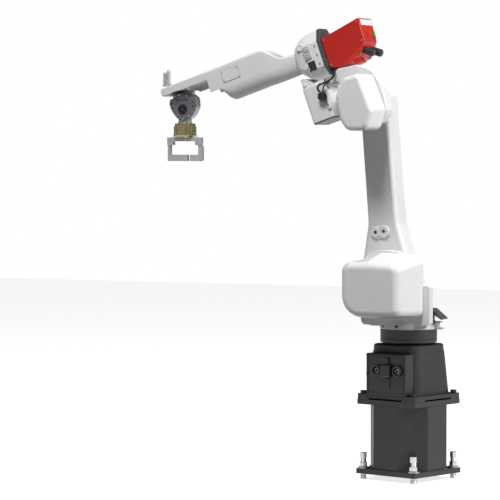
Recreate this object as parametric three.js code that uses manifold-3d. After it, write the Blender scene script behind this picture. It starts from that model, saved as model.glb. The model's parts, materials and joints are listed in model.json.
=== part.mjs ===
// Six-axis articulated robot arm on a pedestal, with a two-finger parallel gripper.
// Millimetres, +Z up. The origin is the centre of the pedestal base plate's underside.
// +X is the reach of the arm as stored, +Y is the side of the shoulder and elbow motor covers.

import * as THREE from 'three';
import { LoftGeometry } from 'three/addons/geometries/LoftGeometry.js';
import { mergeVertices } from 'three/addons/utils/BufferGeometryUtils.js';
import Module from 'manifold-3d';

const wasm = await Module();
wasm.setup();

// ---------------------------------------------------------------- driving dimensions

const GAP = 0.3; // clearance between neighbouring pieces

const BASE_TURN = -18; // degrees, pedestal square against the arm's plane
const PLATE = 342; // side of the base plate and of the mounting flange
const PLATE_THICK = 24;
const COLUMN_FLATS = 334; // across the flats of the octagonal column
const COLUMN_WALL = 12;
const COLUMN_TOP = 318;
const FLANGE_TOP = COLUMN_TOP + PLATE_THICK;
const FOOT_DROP = 26; // how far the levelling bolts stand below the base plate
const BOLT_PITCH = 146; // bolts from the centre lines of the pedestal
const CASTING_TOP = 592;
const NECK_TOP = 600;
const COLLAR_TOP = 661;
const COLLAR_R = 129.5;

const J2 = { x: 80, z: 834 }; // shoulder axis
const ARM_LENGTH = 868.5; // shoulder axis to elbow axis
const ARM_LEAN = 4.36; // degrees forward of vertical
const ARM_HALF = 63; // half thickness of the lower arm along Y
const SIDE = ARM_HALF + 3.5; // inner face of the castings beside the lower arm
const SIDE_OUT = 112; // outer face of the turntable's upright
const ELBOW_OUT = 148; // outer face of the elbow casting
const J2_COVER_OUT = 310;
const J3_COVER_OUT = 328;

const PITCH = 19.5; // degrees, forearm below horizontal
const ROLL_V = 288; // roll axis above the elbow axis, square to the forearm
const HOUSING_BACK = 168; // roll housing along the forearm
const HOUSING_FRONT = 300;
const WRIST_U = 933; // wrist axis along the forearm, from the elbow axis
const FOREARM_HALF = 60; // half width of the forearm casing
const WRIST_ARC = 84; // largest radius of the wrist body about its axis
const WRIST_BACK = -30; // wrist body along its axis
const WRIST_FRONT = 18;
const FLANGE_DROP = 66; // tool flange face below the wrist axis
const TOOL_DROP = 129; // underside of the gripper body below the wrist axis

// ---------------------------------------------------------------- materials

const finish = (color, roughness, metalness) =>
  new THREE.MeshStandardMaterial({ color, roughness, metalness });

const WHITE = finish(0xe9e9e7, 0.45, 0.0);
const COVER = finish(0xf1f1ef, 0.4, 0.0);
const BLACK = finish(0x26272a, 0.5, 0.2);
const DARK_GREY = finish(0x4c5252, 0.5, 0.3);
const STEEL = finish(0xb9babc, 0.35, 0.9);
const MOTOR = finish(0x2f3033, 0.55, 0.2);
const RED = finish(0xc62312, 0.4, 0.0);
const RUBBER = finish(0x161616, 0.8, 0.0);
const GREEN = finish(0x2f9e3a, 0.4, 0.0);
const WRIST_GREY = finish(0x6b6b70, 0.45, 0.3);
const OLIVE = finish(0x8a8355, 0.45, 0.5);
const LIGHT_GREY = finish(0xb4b5b6, 0.45, 0.2);

// ---------------------------------------------------------------- shaping helpers

const rad = THREE.MathUtils.degToRad;

const PLANES = {
  xy: (u, v, w) => new THREE.Vector3(u, v, w),
  xz: (u, v, w) => new THREE.Vector3(u, w, v),
  yz: (u, v, w) => new THREE.Vector3(w, u, v),
};

// Closed, outward-facing copy of a geometry, with shared vertices and no empty triangles.
function tidy(geometry) {
  const bare = new THREE.BufferGeometry();
  bare.setAttribute('position', geometry.getAttribute('position').clone());
  if (geometry.index) bare.setIndex(geometry.index.clone());
  const merged = mergeVertices(bare, 1e-3);
  const position = merged.getAttribute('position');
  const corner = (i) => new THREE.Vector3().fromBufferAttribute(position, i);
  const index = merged.index.array;
  const kept = [];
  let volume = 0;
  for (let i = 0; i < index.length; i += 3) {
    const [a, b, c] = [index[i], index[i + 1], index[i + 2]];
    if (a === b || b === c || c === a) continue;
    kept.push(a, b, c);
    volume += corner(a).dot(corner(b).cross(corner(c)));
  }
  merged.setIndex(volume < 0 ? kept.reverse() : kept);
  return merged;
}

function toSolid(geometry) {
  const g = tidy(geometry);
  return new wasm.Manifold(new wasm.Mesh({
    numProp: 3,
    vertProperties: new Float32Array(g.getAttribute('position').array),
    triVerts: new Uint32Array(g.index.array),
  }));
}

function fromSolid(solid) {
  const mesh = solid.getMesh();
  const geometry = new THREE.BufferGeometry();
  geometry.setAttribute('position', new THREE.BufferAttribute(mesh.vertProperties, 3));
  geometry.setIndex(new THREE.BufferAttribute(mesh.triVerts, 1));
  return geometry;
}

const cut = (body, ...tools) =>
  fromSolid(tools.reduce((solid, tool) => solid.subtract(toSolid(tool)), toSolid(body)));

const join = (body, ...others) =>
  fromSolid(others.reduce((solid, other) => solid.add(toSolid(other)), toSolid(body)));

// Points round a polygon whose corners are [x, y, radius], drawn in by inset.
function outline(corners, inset = 0, steps = 2) {
  const count = corners.length;
  const at = (i) => new THREE.Vector2(...corners[(i + count) % count].slice(0, 2));
  const inward = (i) => {
    const edge = at(i + 1).sub(at(i)).normalize();
    return new THREE.Vector2(-edge.y, edge.x);
  };
  const points = [];
  corners.forEach(([, , radius = 0], i) => {
    const before = inward(i - 1);
    const after = inward(i);
    const mitre = before.clone().add(after).divideScalar(1 + before.dot(after));
    const point = at(i).addScaledVector(mitre, inset);
    const turn = before.cross(after);
    const r = turn > 0 ? Math.max(radius - inset, 0.8) : radius + inset;
    if (radius === 0 || Math.abs(turn) < 1e-6) {
      points.push(point);
      return;
    }
    const side = Math.sign(turn) * r;
    const centre = point.clone().addScaledVector(mitre, side);
    const start = Math.atan2(-before.y * side, -before.x * side);
    const sweep = Math.atan2(turn, before.dot(after));
    for (let k = 0; k <= steps; k += 1) {
      const a = start + (sweep * k) / steps;
      points.push(new THREE.Vector2(Math.cos(a), Math.sin(a)).multiplyScalar(r).add(centre));
    }
  });
  return points;
}

// Solid skinned through sections, each {w, points}, laid in one of the three planes.
function skin(plane, sections) {
  const place = PLANES[plane];
  const rings = sections.map(({ w, points }) => points.map((p) => place(p.x, p.y, w)));
  const counterClockwise = THREE.ShapeUtils.area(sections[0].points) > 0;
  const rising = sections.at(-1).w > sections[0].w;
  const rightHanded = plane !== 'xz';
  const agreeing = [counterClockwise, rising, rightHanded].filter(Boolean).length;
  if (agreeing % 2 === 0) rings.forEach((points) => points.reverse());
  return tidy(new LoftGeometry(rings, { capStart: true, capEnd: true }));
}

// Prism over rounded corners; levels are [w, inset] pairs.
const prism = (plane, corners, levels, steps) =>
  skin(plane, levels.map(([w, inset]) => ({ w, points: outline(corners, inset, steps) })));

// Levels from one height to another, with an edge radius at either end.
function levels(from, to, startRadius = 0, endRadius = 0, steps = 2) {
  const dir = Math.sign(to - from);
  const list = [];
  for (let k = 0; k <= steps && startRadius > 0; k += 1) {
    const a = (k / steps) * Math.PI / 2;
    list.push([from + dir * startRadius * (1 - Math.cos(a)), startRadius * (1 - Math.sin(a))]);
  }
  if (startRadius === 0) list.push([from, 0]);
  if (endRadius === 0) list.push([to, 0]);
  for (let k = 0; k <= steps && endRadius > 0; k += 1) {
    const a = (1 - k / steps) * Math.PI / 2;
    list.push([to - dir * endRadius * (1 - Math.cos(a)), endRadius * (1 - Math.sin(a))]);
  }
  return list;
}

const rectangle = (x0, y0, x1, y1, r = 0) => [[x0, y0, r], [x1, y0, r], [x1, y1, r], [x0, y1, r]];

const box = (x0, x1, y0, y1, z0, z1, r = 0) =>
  prism('xy', rectangle(x0, y0, x1, y1, r), [[z0, 0], [z1, 0]], 2);

// Solid of revolution about Z through the origin; profile is [radius, height] from axis to axis.
function turned(profile, segments = 24) {
  const points = profile.map(([r, h]) => new THREE.Vector2(r, h));
  return tidy(new THREE.LatheGeometry(points, segments).rotateX(Math.PI / 2));
}

const disc = (r, z0, z1, segments) => turned([[0, z0], [r, z0], [r, z1], [0, z1]], segments);

const ring = (inner, outer, z0, z1, segments) =>
  turned([[inner, z0], [outer, z0], [outer, z1], [inner, z1], [inner, z0]], segments);

// Turns a piece built along +Z to run along +Y or +X.
const alongY = (geometry) => geometry.rotateX(-Math.PI / 2);
const alongX = (geometry) => geometry.rotateY(Math.PI / 2);

function circleCorners(x, y, r, count, phase = 0) {
  return Array.from({ length: count }, (_, i) => {
    const a = phase + (i / count) * 2 * Math.PI;
    return [x + r * Math.cos(a), y + r * Math.sin(a), 0];
  });
}

const hexPrism = (flats, z0, z1) =>
  prism('xy', circleCorners(0, 0, flats / Math.sqrt(3), 6), [[z0, 0], [z1, 0]]);

// ---------------------------------------------------------------- the tree of groups

const robot = new THREE.Group();

function group(parent, x = 0, y = 0, z = 0, axis = 'y', angle = 0) {
  const g = new THREE.Group();
  g.position.set(x, y, z);
  g.rotation[axis] = rad(angle);
  parent.add(g);
  return g;
}

function piece(parent, name, geometry, material) {
  const mesh = new THREE.Mesh(tidy(geometry), material);
  mesh.name = name;
  parent.add(mesh);
  return mesh;
}

const pedestal = group(robot, 0, 0, 0, 'z', BASE_TURN);
const shoulder = group(robot);
const lowerArm = group(robot, J2.x, 0, J2.z, 'y', ARM_LEAN);
const elbow = group(lowerArm, 0, 0, ARM_LENGTH, 'y', PITCH - ARM_LEAN);
const wrist = group(elbow, WRIST_U, 0, ROLL_V, 'y', -PITCH);

// ---------------------------------------------------------------- pedestal

const squareCorners = [[1, 1], [-1, 1], [-1, -1], [1, -1]];

function makePlates() {
  const side = PLATE / 2;
  const holes = squareCorners.map(([sx, sy]) =>
    disc(14.2, -10, COLUMN_TOP + 60, 16).translate(sx * BOLT_PITCH, sy * BOLT_PITCH, 0));
  const plate = (z0, z1, r) => prism('xy', rectangle(-side, -side, side, side, r), [[z0, 0], [z1, 0]]);
  piece(pedestal, 'base_plate', cut(plate(0, PLATE_THICK, 5), ...holes), BLACK);
  const flangeHoles = squareCorners.map(([sx, sy]) =>
    disc(9.2, COLUMN_TOP - 5, FLANGE_TOP + 5, 12).translate(sx * BOLT_PITCH, sy * BOLT_PITCH, 0));
  const cableHole = disc(60, COLUMN_TOP - 5, FLANGE_TOP + 5, 24);
  piece(pedestal, 'mounting_flange',
    cut(plate(COLUMN_TOP + GAP, FLANGE_TOP, 16), cableHole, ...flangeHoles), BLACK);
}

function makeColumn() {
  const outer = circleCorners(0, 0, COLUMN_FLATS / 2 / Math.cos(Math.PI / 8), 8, Math.PI / 8);
  const tube = prism('xy', outer, [[PLATE_THICK + GAP, 0], [COLUMN_TOP, 0]]);
  const bore = prism('xy', outer, [[0, COLUMN_WALL], [COLUMN_TOP + 20, COLUMN_WALL]]);
  const cableSlot = box(-30, 30, -COLUMN_FLATS, -COLUMN_FLATS / 2 + 40, 60, 130, 12);
  piece(pedestal, 'column', cut(tube, bore, cableSlot), BLACK);
}

// Jack bolts that level the pedestal, each locked by a flanged nut on top of the base plate.
function makeLevellingBolts() {
  const top = PLATE_THICK + GAP;
  const screw = turned([[0, -FOOT_DROP], [14.5, -FOOT_DROP], [14.5, -6], [13, -4], [13, top], [26, top],
    [25, top + 6], [13, top + 9], [13, 72], [0, 72]], 12);
  squareCorners.forEach(([sx, sy], i) => {
    const bolt = join(screw, hexPrism(29, 70, 96), hexPrism(34, top + 8, top + 26));
    piece(pedestal, `levelling_bolt_${i + 1}`, bolt.translate(sx * BOLT_PITCH, sy * BOLT_PITCH, 0), STEEL);
  });
}

// Tapered base casting: a rounded square at the bottom drawn in towards the top, on a square flange
// that touches the pedestal only at its four corners.
function makeBaseCasting() {
  const bottom = FLANGE_TOP + GAP;
  const flangeTop = FLANGE_TOP + PLATE_THICK;
  const side = PLATE / 2;
  const flange = prism('xy', rectangle(-side, -side, side, side, 22), [[bottom, 0], [flangeTop, 0]]);
  const coneAt = (z, a, r) => ({ w: z, points: outline(rectangle(-a, -a, a, a, r), 0, 4) });
  const cone = skin('xy', [coneAt(bottom + 8, 150, 70), coneAt(flangeTop, 150, 70),
    coneAt(560, 138, 78), coneAt(562, 136, 78), coneAt(CASTING_TOP - 4, 135, 78),
    coneAt(CASTING_TOP, 131, 76)]);
  const neck = disc(100, CASTING_TOP - 5, NECK_TOP, 28);
  const hollow = skin('xy', [coneAt(bottom - 10, 132, 60), coneAt(flangeTop, 132, 60),
    coneAt(530, 112, 68)]);
  const bore = disc(62, 500, NECK_TOP + 10, 24);
  const relief = 7;
  const slots = [0, 90, 180, 270].map((a) =>
    box(-95, 95, side - 40, side + 10, bottom - 5, bottom + relief).rotateZ(rad(a)));
  const boltHoles = squareCorners.map(([sx, sy]) =>
    disc(9.2, bottom - 5, flangeTop + 5, 12).translate(sx * BOLT_PITCH, sy * BOLT_PITCH, 0));
  const body = cut(join(flange, cone, neck), hollow, bore, ...slots, ...boltHoles);
  const seat = box(-128, 104, 125, 200, flangeTop + 1, 556);
  const window = box(-70, 50, 90, 200, 400, 520);
  piece(pedestal, 'base_casting', cut(body, seat, window), BLACK);
}

function makeConnectorPanel() {
  const z0 = FLANGE_TOP + PLATE_THICK + 1.5;
  const z1 = 555;
  const panel = prism('xz', rectangle(-126, z0, 102, z1, 6),
    [[125.5, 0], [178, 0], [181, 3]]);
  const pocket = box(-116, 92, 110, 172, z0 + 9, z1 - 9);
  const holes = [-84, 36].map((x) => alongY(disc(21, 150, 200, 20)).translate(x, 0, 480));
  const plugProfile = [[0, 150], [20.5, 150], [20.5, 184], [24, 184], [24, 198], [16, 198], [16, 176], [0, 176]];
  [-84, 36].forEach((x, i) => {
    const socket = alongY(turned(plugProfile, 20)).translate(x, 0, 480);
    piece(pedestal, `cable_socket_${i + 1}`, socket, RUBBER);
  });
  const block = prism('xz', rectangle(-50, 452, 4, 508, 5), levels(178, 206, 0, 5));
  piece(pedestal, 'connector_panel', join(cut(panel, pocket, ...holes), block), BLACK);
}

function makeBaseDrive() {
  piece(pedestal, 'j1_reducer', ring(34, 60.5, 505, NECK_TOP - 1, 24), STEEL);
  const motor = join(box(-48, 48, -48, 48, 385, 480, 10), disc(44, 478, 500, 28), disc(12, 495, 545, 16));
  piece(pedestal, 'j1_motor', motor, MOTOR);
}

// ---------------------------------------------------------------- turntable

function makeCollar() {
  const profile = [[101, NECK_TOP + GAP * 2], [COLLAR_R - 4, NECK_TOP + GAP * 2], [COLLAR_R, NECK_TOP + 5],
    [COLLAR_R, COLLAR_TOP], [40, COLLAR_TOP], [40, NECK_TOP + 12], [101, NECK_TOP + 12],
    [101, NECK_TOP + GAP * 2]];
  piece(shoulder, 'rotation_collar', turned(profile, 36), BLACK);
}

// The turntable casting: a round skirt, a shelf forward under the shoulder, an upright with a round
// top beside the lower arm, and a duct up the back of the upright.
function makeTurntable() {
  const z0 = COLLAR_TOP + GAP;
  const skirt = turned([[0, z0], [130, z0], [131, z0 + 4], [131, z0 + 28], [122, z0 + 42], [0, z0 + 42]], 36);
  const shelf = skin('xy', [
    { w: z0 + 16, points: outline(rectangle(-90, -80, 158, SIDE_OUT - 6, 30)) },
    { w: z0 + 30, points: outline(rectangle(-100, -86, 180, SIDE_OUT, 30)) },
    { w: z0 + 42, points: outline(rectangle(-104, -86, 192, SIDE_OUT, 30)) },
  ]);
  const upright = prism('xz', [[-118, z0 + 20, 10], [186, z0 + 20, 20], [214, 820, 60], [214, 924, 90],
    [150, 1016, 60], [80, 1022, 120], [5, 1016, 70], [-60, 960, 90], [-118, 860, 40]],
  [[SIDE, 4], [SIDE + 4, 0], [SIDE_OUT, 0]]);
  const duct = prism('xz', rectangle(-141, z0 + 24, -100, 864, 12), [[SIDE, 0], [SIDE_OUT, 0]], 2);
  const reducerSeat = alongY(disc(92, SIDE - 5, SIDE_OUT - 16, 28)).translate(J2.x, 0, J2.z);
  const motorSeat = alongY(disc(48, SIDE, SIDE_OUT + 5, 24)).translate(J2.x, 0, J2.z);
  const cableBore = disc(40, z0 - 5, z0 + 60, 24);
  const casting = cut(join(skirt, shelf, upright, duct), reducerSeat, motorSeat, cableBore);
  piece(shoulder, 'turntable', casting, WHITE);
}

// Corner lists of the shoulder cover at the upright and at its outer face.
const J2_COVER_BACK = [[-112, 719, 34], [222, 719, 104], [222, 976, 44], [140, 984, 30], [92, 1011, 50],
  [-112, 1004, 46]];
const J2_COVER_FRONT = [[-62, 727, 40], [214, 727, 96], [214, 972, 44], [140, 972, 30], [92, 974, 50],
  [-62, 968, 44]];

const blend = (a, b, t) => a.map((corner, i) => corner.map((value, k) => value + (b[i][k] - value) * t));

// A cover open at the back: sections run from the back outline to the front one, then round over.
function coverShell(back, front, y0, y1, edge, wall) {
  const outer = [];
  const rounding = levels(y0, y1, 0, edge, 3);
  rounding.forEach(([w, inset]) => {
    const t = (w - y0) / (y1 - y0);
    outer.push({ w, points: outline(blend(back, front, t), inset, 3) });
  });
  const inner = [y0 - 10, y0 + (y1 - y0) * 0.5, y1 - edge, y1 - wall].map((w, i) => {
    const t = Math.max((w - y0) / (y1 - y0), 0);
    return { w, points: outline(blend(back, front, t), i < 3 ? wall : edge * 0.7) };
  });
  return cut(skin('xz', outer), skin('xz', inner));
}

function makeShoulderDrive() {
  const at = (geometry) => alongY(geometry).translate(J2.x, 0, J2.z);
  piece(shoulder, 'j2_cover',
    coverShell(J2_COVER_BACK, J2_COVER_FRONT, SIDE_OUT + GAP, J2_COVER_OUT, 34, 5), COVER);
  const motor = join(at(disc(47, SIDE_OUT - 14, SIDE_OUT + 12, 28)),
    box(18, 142, SIDE_OUT + 10, 232, 774, 894, 10), box(40, 120, 230, 274, 796, 874, 12));
  piece(shoulder, 'j2_motor', motor, MOTOR);
  piece(shoulder, 'j2_reducer', at(ring(30, 90.5, SIDE + 0.5, SIDE_OUT - 16 - GAP, 28)), STEEL);
}

function makeTurntableTrim() {
  const bracket = prism('xz', [[-172, 706, 2], [-102, 748, 4], [-102, 756, 2], [-122, 756, 6], [-176, 712, 2]],
    [[-40, 0], [36, 0]], 2);
  const riser = box(-116, -96, -30, 26, COLLAR_TOP + 42.6, 747);
  piece(shoulder, 'cable_bracket', join(bracket, riser), DARK_GREY);
  const hook = prism('xz', [[-126, 662, 0], [-168, 662, 3], [-168, 668, 2], [-148, 670, 4], [-146, 688, 4],
    [-160, 692, 3], [-160, 698, 2], [-126, 698, 0]].reverse(), [[-14, 0], [14, 0]], 2);
  piece(shoulder, 'stop_block', cut(hook, disc(131 + GAP, 640, 720, 36)), LIGHT_GREY);
}

// ---------------------------------------------------------------- lower arm (origin on the shoulder axis)

const ARM_OUTLINE = [
  [-92, -94, 70], [92, -94, 70], [112, 150, 70], [75, 310, 220], [75, ARM_LENGTH + 72, 71], [-67, ARM_LENGTH + 72, 66],
  [-67, 520, 300], [-72, 300, 150], [-112, 130, 70]];

function makeLowerArm() {
  const body = prism('xz', ARM_OUTLINE, levels(-ARM_HALF, ARM_HALF, 6, 22), 2);
  const pocketCorners = [[-36, 150, 20], [36, 150, 20], [36, ARM_LENGTH - 140, 20], [-36, ARM_LENGTH - 140, 20]];
  const pocket = prism('xz', pocketCorners, [[-ARM_HALF - 5, 0], [ARM_HALF - 9, 0]]);
  const shoulderBore = alongY(disc(84, -ARM_HALF - 5, ARM_HALF - 16, 24));
  const elbowBore = alongY(disc(50, -ARM_HALF - 5, ARM_HALF - 16, 24)).translate(0, 0, ARM_LENGTH);
  const boreThrough = alongY(disc(34, 0, ARM_HALF + 5, 20));
  const elbowThrough = alongY(disc(30, 0, ARM_HALF + 5, 20)).translate(0, 0, ARM_LENGTH);
  piece(lowerArm, 'lower_arm_casting',
    cut(body, pocket, shoulderBore, elbowBore, boreThrough, elbowThrough), WHITE);
  const cover = prism('xz', [[-46, 128, 24], [46, 128, 24], [46, ARM_LENGTH - 116, 24], [-46, ARM_LENGTH - 116, 24]],
    levels(-ARM_HALF - GAP, -ARM_HALF - 9, 0, 4, 2));
  piece(lowerArm, 'lower_arm_cover', cover, COVER);
  const cap = (r, z) => alongY(turned([[0, -12], [r - 8, -12], [r, -6], [r, 0], [0, 0]], 28))
    .translate(0, -ARM_HALF - GAP, z);
  piece(lowerArm, 'shoulder_cap', cap(88, 0), COVER);
  piece(lowerArm, 'elbow_cap', cap(58, ARM_LENGTH), COVER);
}

function makePortBoss() {
  const y0 = ARM_HALF + GAP;
  const plate = prism('xz', [[-24, 242, 24], [60, 240, 24], [60, 298, 24], [-24, 298, 24]],
    levels(y0, y0 + 7, 0, 3, 2), 4);
  const port = (x, z, r) => alongY(turned([[0, 0], [r, 0], [r - 2, 8], [0, 8]], 18)).translate(x, y0 + 6, z);
  const hole = (x, z) => alongY(disc(8.5, 0, 30, 12)).translate(x, y0 + 3, z);
  const boss = cut(join(plate, port(35, 270, 25), port(-5, 272, 27)), hole(35, 270), hole(-5, 272));
  piece(lowerArm, 'port_plate', boss, WHITE);
}

// ---------------------------------------------------------------- elbow (x along the forearm, z square to it)

function makeElbowCasting() {
  const plate = prism('xz', [[-72, -84, 40], [-10, -122, 50], [70, -96, 50], [110, 10, 50], [106, 100, 40],
    [106, 173, 5], [92, 184, 6], [-2, 170, 20], [-62, 128, 34], [-90, 40, 60]],
  [[SIDE, 4], [SIDE + 4, 0], [ELBOW_OUT - 5, 0], [ELBOW_OUT, 6]]);
  const saddle = prism('xz', rectangle(66, 136, 184, 173, 5), [[-72, 0], [14, 0]]);
  const web = box(70, 104, 10, SIDE + 10, 138, 173);
  const reducerSeat = alongY(disc(80, SIDE - 5, SIDE_OUT - 14, 28));
  const motorSeat = alongY(disc(52, SIDE, ELBOW_OUT + 5, 24));
  piece(elbow, 'elbow_casting', cut(join(plate, saddle, web), reducerSeat, motorSeat), WHITE);
}

const J3_COVER = [[-72, -75, 34], [-12, -150, 44], [78, -117, 40], [93, -62, 34], [79, 46, 40],
  [19, 114, 30], [-65, 107, 26]];

// Rim that joins the elbow cover to the casting, set in from the cover's edge.
const coverSection = (w, inset) => ({ w, points: outline(J3_COVER, inset) });

function makeElbowDrive() {
  const seam = cut(
    skin('xz', [coverSection(ELBOW_OUT + GAP, 10), coverSection(ELBOW_OUT + 8, 10), coverSection(ELBOW_OUT + 8.01, 2),
      coverSection(ELBOW_OUT + 13, 2)]),
    skin('xz', [coverSection(ELBOW_OUT - 5, 15), coverSection(ELBOW_OUT + 20, 15)]));
  piece(elbow, 'j3_cover',
    join(coverShell(J3_COVER, J3_COVER, ELBOW_OUT + 7, J3_COVER_OUT, 24, 4.5), seam), COVER);
  const motor = join(alongY(disc(51.5, SIDE_OUT - 10, ELBOW_OUT + 6, 28)),
    box(-46, 46, ELBOW_OUT + 4, 262, -56, 40, 8), box(-34, 34, 260, 298, -42, 26, 10));
  piece(elbow, 'j3_motor', motor, MOTOR);
  piece(elbow, 'j3_reducer', alongY(ring(26, 78.5, SIDE + 0.5, SIDE_OUT - 14 - GAP, 28)), STEEL);
}

// Corners of an octagon about the roll axis: half width, half height and corner cut.
function rollOctagon(half, up, down, cutY, cutV) {
  return [[half, ROLL_V - down + cutV, 6], [half, ROLL_V + up - cutV, 6], [half - cutY, ROLL_V + up, 6],
    [cutY - half, ROLL_V + up, 6], [-half, ROLL_V + up - cutV, 6], [-half, ROLL_V - down + cutV, 6],
    [cutY - half, ROLL_V - down, 6], [half - cutY, ROLL_V - down, 6]];
}

function makeRollHousing() {
  const at = (w, ...shape) => ({ w, points: outline(rollOctagon(...shape), 0, 2) });
  const body = skin('yz', [at(HOUSING_BACK, 90, 113, 113, 46, 55), at(226, 90, 111, 113, 44, 52),
    at(262, 84, 98, 92, 38, 42), at(290, 74, 76, 62, 30, 30), at(HOUSING_FRONT, 68, 68, 54, 26, 26)]);
  const seat = alongX(disc(64, HOUSING_BACK - 5, 282, 28)).translate(0, 0, ROLL_V);
  const throat = alongX(disc(46, HOUSING_BACK - 5, HOUSING_FRONT + 5, 28)).translate(0, 0, ROLL_V);
  const recess = box(206, 244, 70, 100, 224, 268, 3);
  piece(elbow, 'roll_housing', cut(body, seat, throat, recess), WHITE);
  const plate = skin('yz', [at(HOUSING_BACK - 18, 88, 113, 113, 46, 55), at(HOUSING_BACK - 15, 91, 116, 116, 46, 55),
    at(HOUSING_BACK - GAP, 91, 116, 116, 46, 55)]);
  const cableHole = alongX(disc(30, HOUSING_BACK - 25, HOUSING_BACK + 5, 24)).translate(0, 0, ROLL_V);
  const foot = box(100, 200, -100, 100, 120, 173.5 + GAP);
  piece(elbow, 'roll_rear_plate', cut(plate, cableHole, foot), DARK_GREY);
  piece(elbow, 'j4_reducer',
    alongX(ring(38.5, 62.5, HOUSING_BACK + 2, 280, 28)).translate(0, 0, ROLL_V), STEEL);
  const rib = prism('xz', rectangle(212, 282, 246, 340, 3), levels(90 + GAP, 97, 0, 2, 2));
  piece(elbow, 'connector_plate', rib, LIGHT_GREY);
}

function makeRollMotor() {
  const corners = rectangle(195.5, -90, 309, 90, 14);
  const main = prism('xy', corners, [[-4, 0], [156, 0], [163, 4]]);
  const step = prism('xz', [[198, 160, 0], [305, 160, 4], [305, 206, 8], [296, 210, 3], [266, 186, 3],
    [262, 173.4, 0], [198, 173.4, 3]], [[-80, 0], [80, 0]], 2);
  const hollow = box(204, 300, -81, 81, -20, 150, 8);
  piece(elbow, 'j4_motor_case', cut(join(main, step), hollow), WHITE);
  piece(elbow, 'j4_case_cover', prism('xy', corners, [[-11, 4], [-8, 1], [-4 - GAP, 1]]), DARK_GREY);
  const motor = join(box(212, 286, -37, 37, -2, 96, 8), disc(30, 94, 120, 24).translate(249, 0, 0));
  piece(elbow, 'j4_motor', motor, MOTOR);
  const dome = turned([[0, 128], [28, 129], [39, 136], [43, 148], [43, 173.4], [0, 173.4]], 28);
  piece(elbow, 'conduit_dome', dome.translate(151, 64, 0), WHITE);
}

// Red control box behind the roll housing, its rear face square to the forearm.
const BOX_HALF = 81;
const BOX_SIDE = [[1, 204, 5], [99, 192, 4], [149, 214, 3], [149, 350, 3], [-57, 380, 5], [-50, 268, 4]];

function makeControlBox() {
  const shell = prism('xz', BOX_SIDE, levels(-BOX_HALF, BOX_HALF, 4, 4, 2), 2);
  const hollow = prism('xz', [[6, 212, 0], [98, 201, 0], [143, 219, 0], [143, 342, 0], [-48, 370, 0], [-43, 272, 0]],
    [[-BOX_HALF + 5, 0], [BOX_HALF - 5, 0]]);
  const cableHole = alongX(disc(26, 130, 170, 20)).translate(0, 0, ROLL_V);
  const rockerSeat = box(-70, -40, -73, -51, 287, 321);
  const foot = prism('xz', [[-8, 182, 2], [36, 179.5, 2], [30, 206, 3], [-2, 208, 3]], [[22, 0], [78, 0]], 2);
  piece(elbow, 'control_box', cut(join(shell, foot), hollow, cableHole, rockerSeat), RED);
}

// Two plugs standing out of the box's sloping lower rear face.
function makeBoxConnectors() {
  const middle = { u: -25, v: 236 };
  const slope = Math.atan2(268 - 204, -51);
  const profile = [[0, 0.5], [15, 0.5], [15, 8], [18, 9], [18, 50], [14, 52], [0, 52]];
  [46, -54].forEach((y, i) => {
    const plug = alongX(turned(profile, 20)).rotateY(-(slope + Math.PI / 2));
    piece(elbow, `signal_connector_${i + 1}`, plug.translate(middle.u, y, middle.v), RUBBER);
  });
}

// The lead from the control box to the roll motor, held at both ends.
function makeLead() {
  const route = [[122, 72, 196], [122, 88, 192], [122, 106, 184], [125, 119, 172], [136, 123, 158], [162, 123, 151],
    [190, 120, 150], [212, 116, 149], [225, 111, 138], [223, 107, 120]].map((p) => new THREE.Vector3(...p));
  const circle = new THREE.Shape(circleCorners(0, 0, 5, 8).map(([x, y]) => new THREE.Vector2(x, y)));
  const path = new THREE.CatmullRomCurve3(route, false, 'centripetal');
  const lead = new THREE.ExtrudeGeometry(circle, { steps: 22, extrudePath: path });
  piece(elbow, 'motor_lead', lead, RUBBER);
  const plug = turned([[0, 0], [15, 0], [15, 6], [21, 7], [21, 24], [17, 27], [0, 27]], 24);
  piece(elbow, 'motor_plug', alongY(plug).translate(218, 90 + GAP, 96), RUBBER);
}

function makeRocker() {
  const rocker = prism('xz', [[-50, 290, 0], [-50, 318, 0], [-60.5, 318, 2], [-57, 304, 0], [-59, 290, 2]].reverse(),
    [[-71, 0], [-53, 0]], 2);
  piece(elbow, 'power_switch', rocker, GREEN);
}

// ---------------------------------------------------------------- forearm

// Section of the casing across the roll axis: flat sides above, a round belly below.
function bellySection(w, top, bottom, half) {
  const belly = Math.min(ROLL_V + 20, top - 12);
  const points = [[half, top - 10], [half - 3, top - 3], [half - 12, top]];
  const right = points.map(([y, v]) => new THREE.Vector2(y, v));
  const left = points.map(([y, v]) => new THREE.Vector2(-y, v)).reverse();
  const lower = [];
  const steps = 6;
  for (let k = 0; k <= steps; k += 1) {
    const a = Math.PI + (k / steps) * Math.PI;
    lower.push(new THREE.Vector2(half * Math.cos(a), belly + (belly - bottom) * Math.sin(a)));
  }
  return { w, points: [...right, ...left, ...lower] };
}

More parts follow.
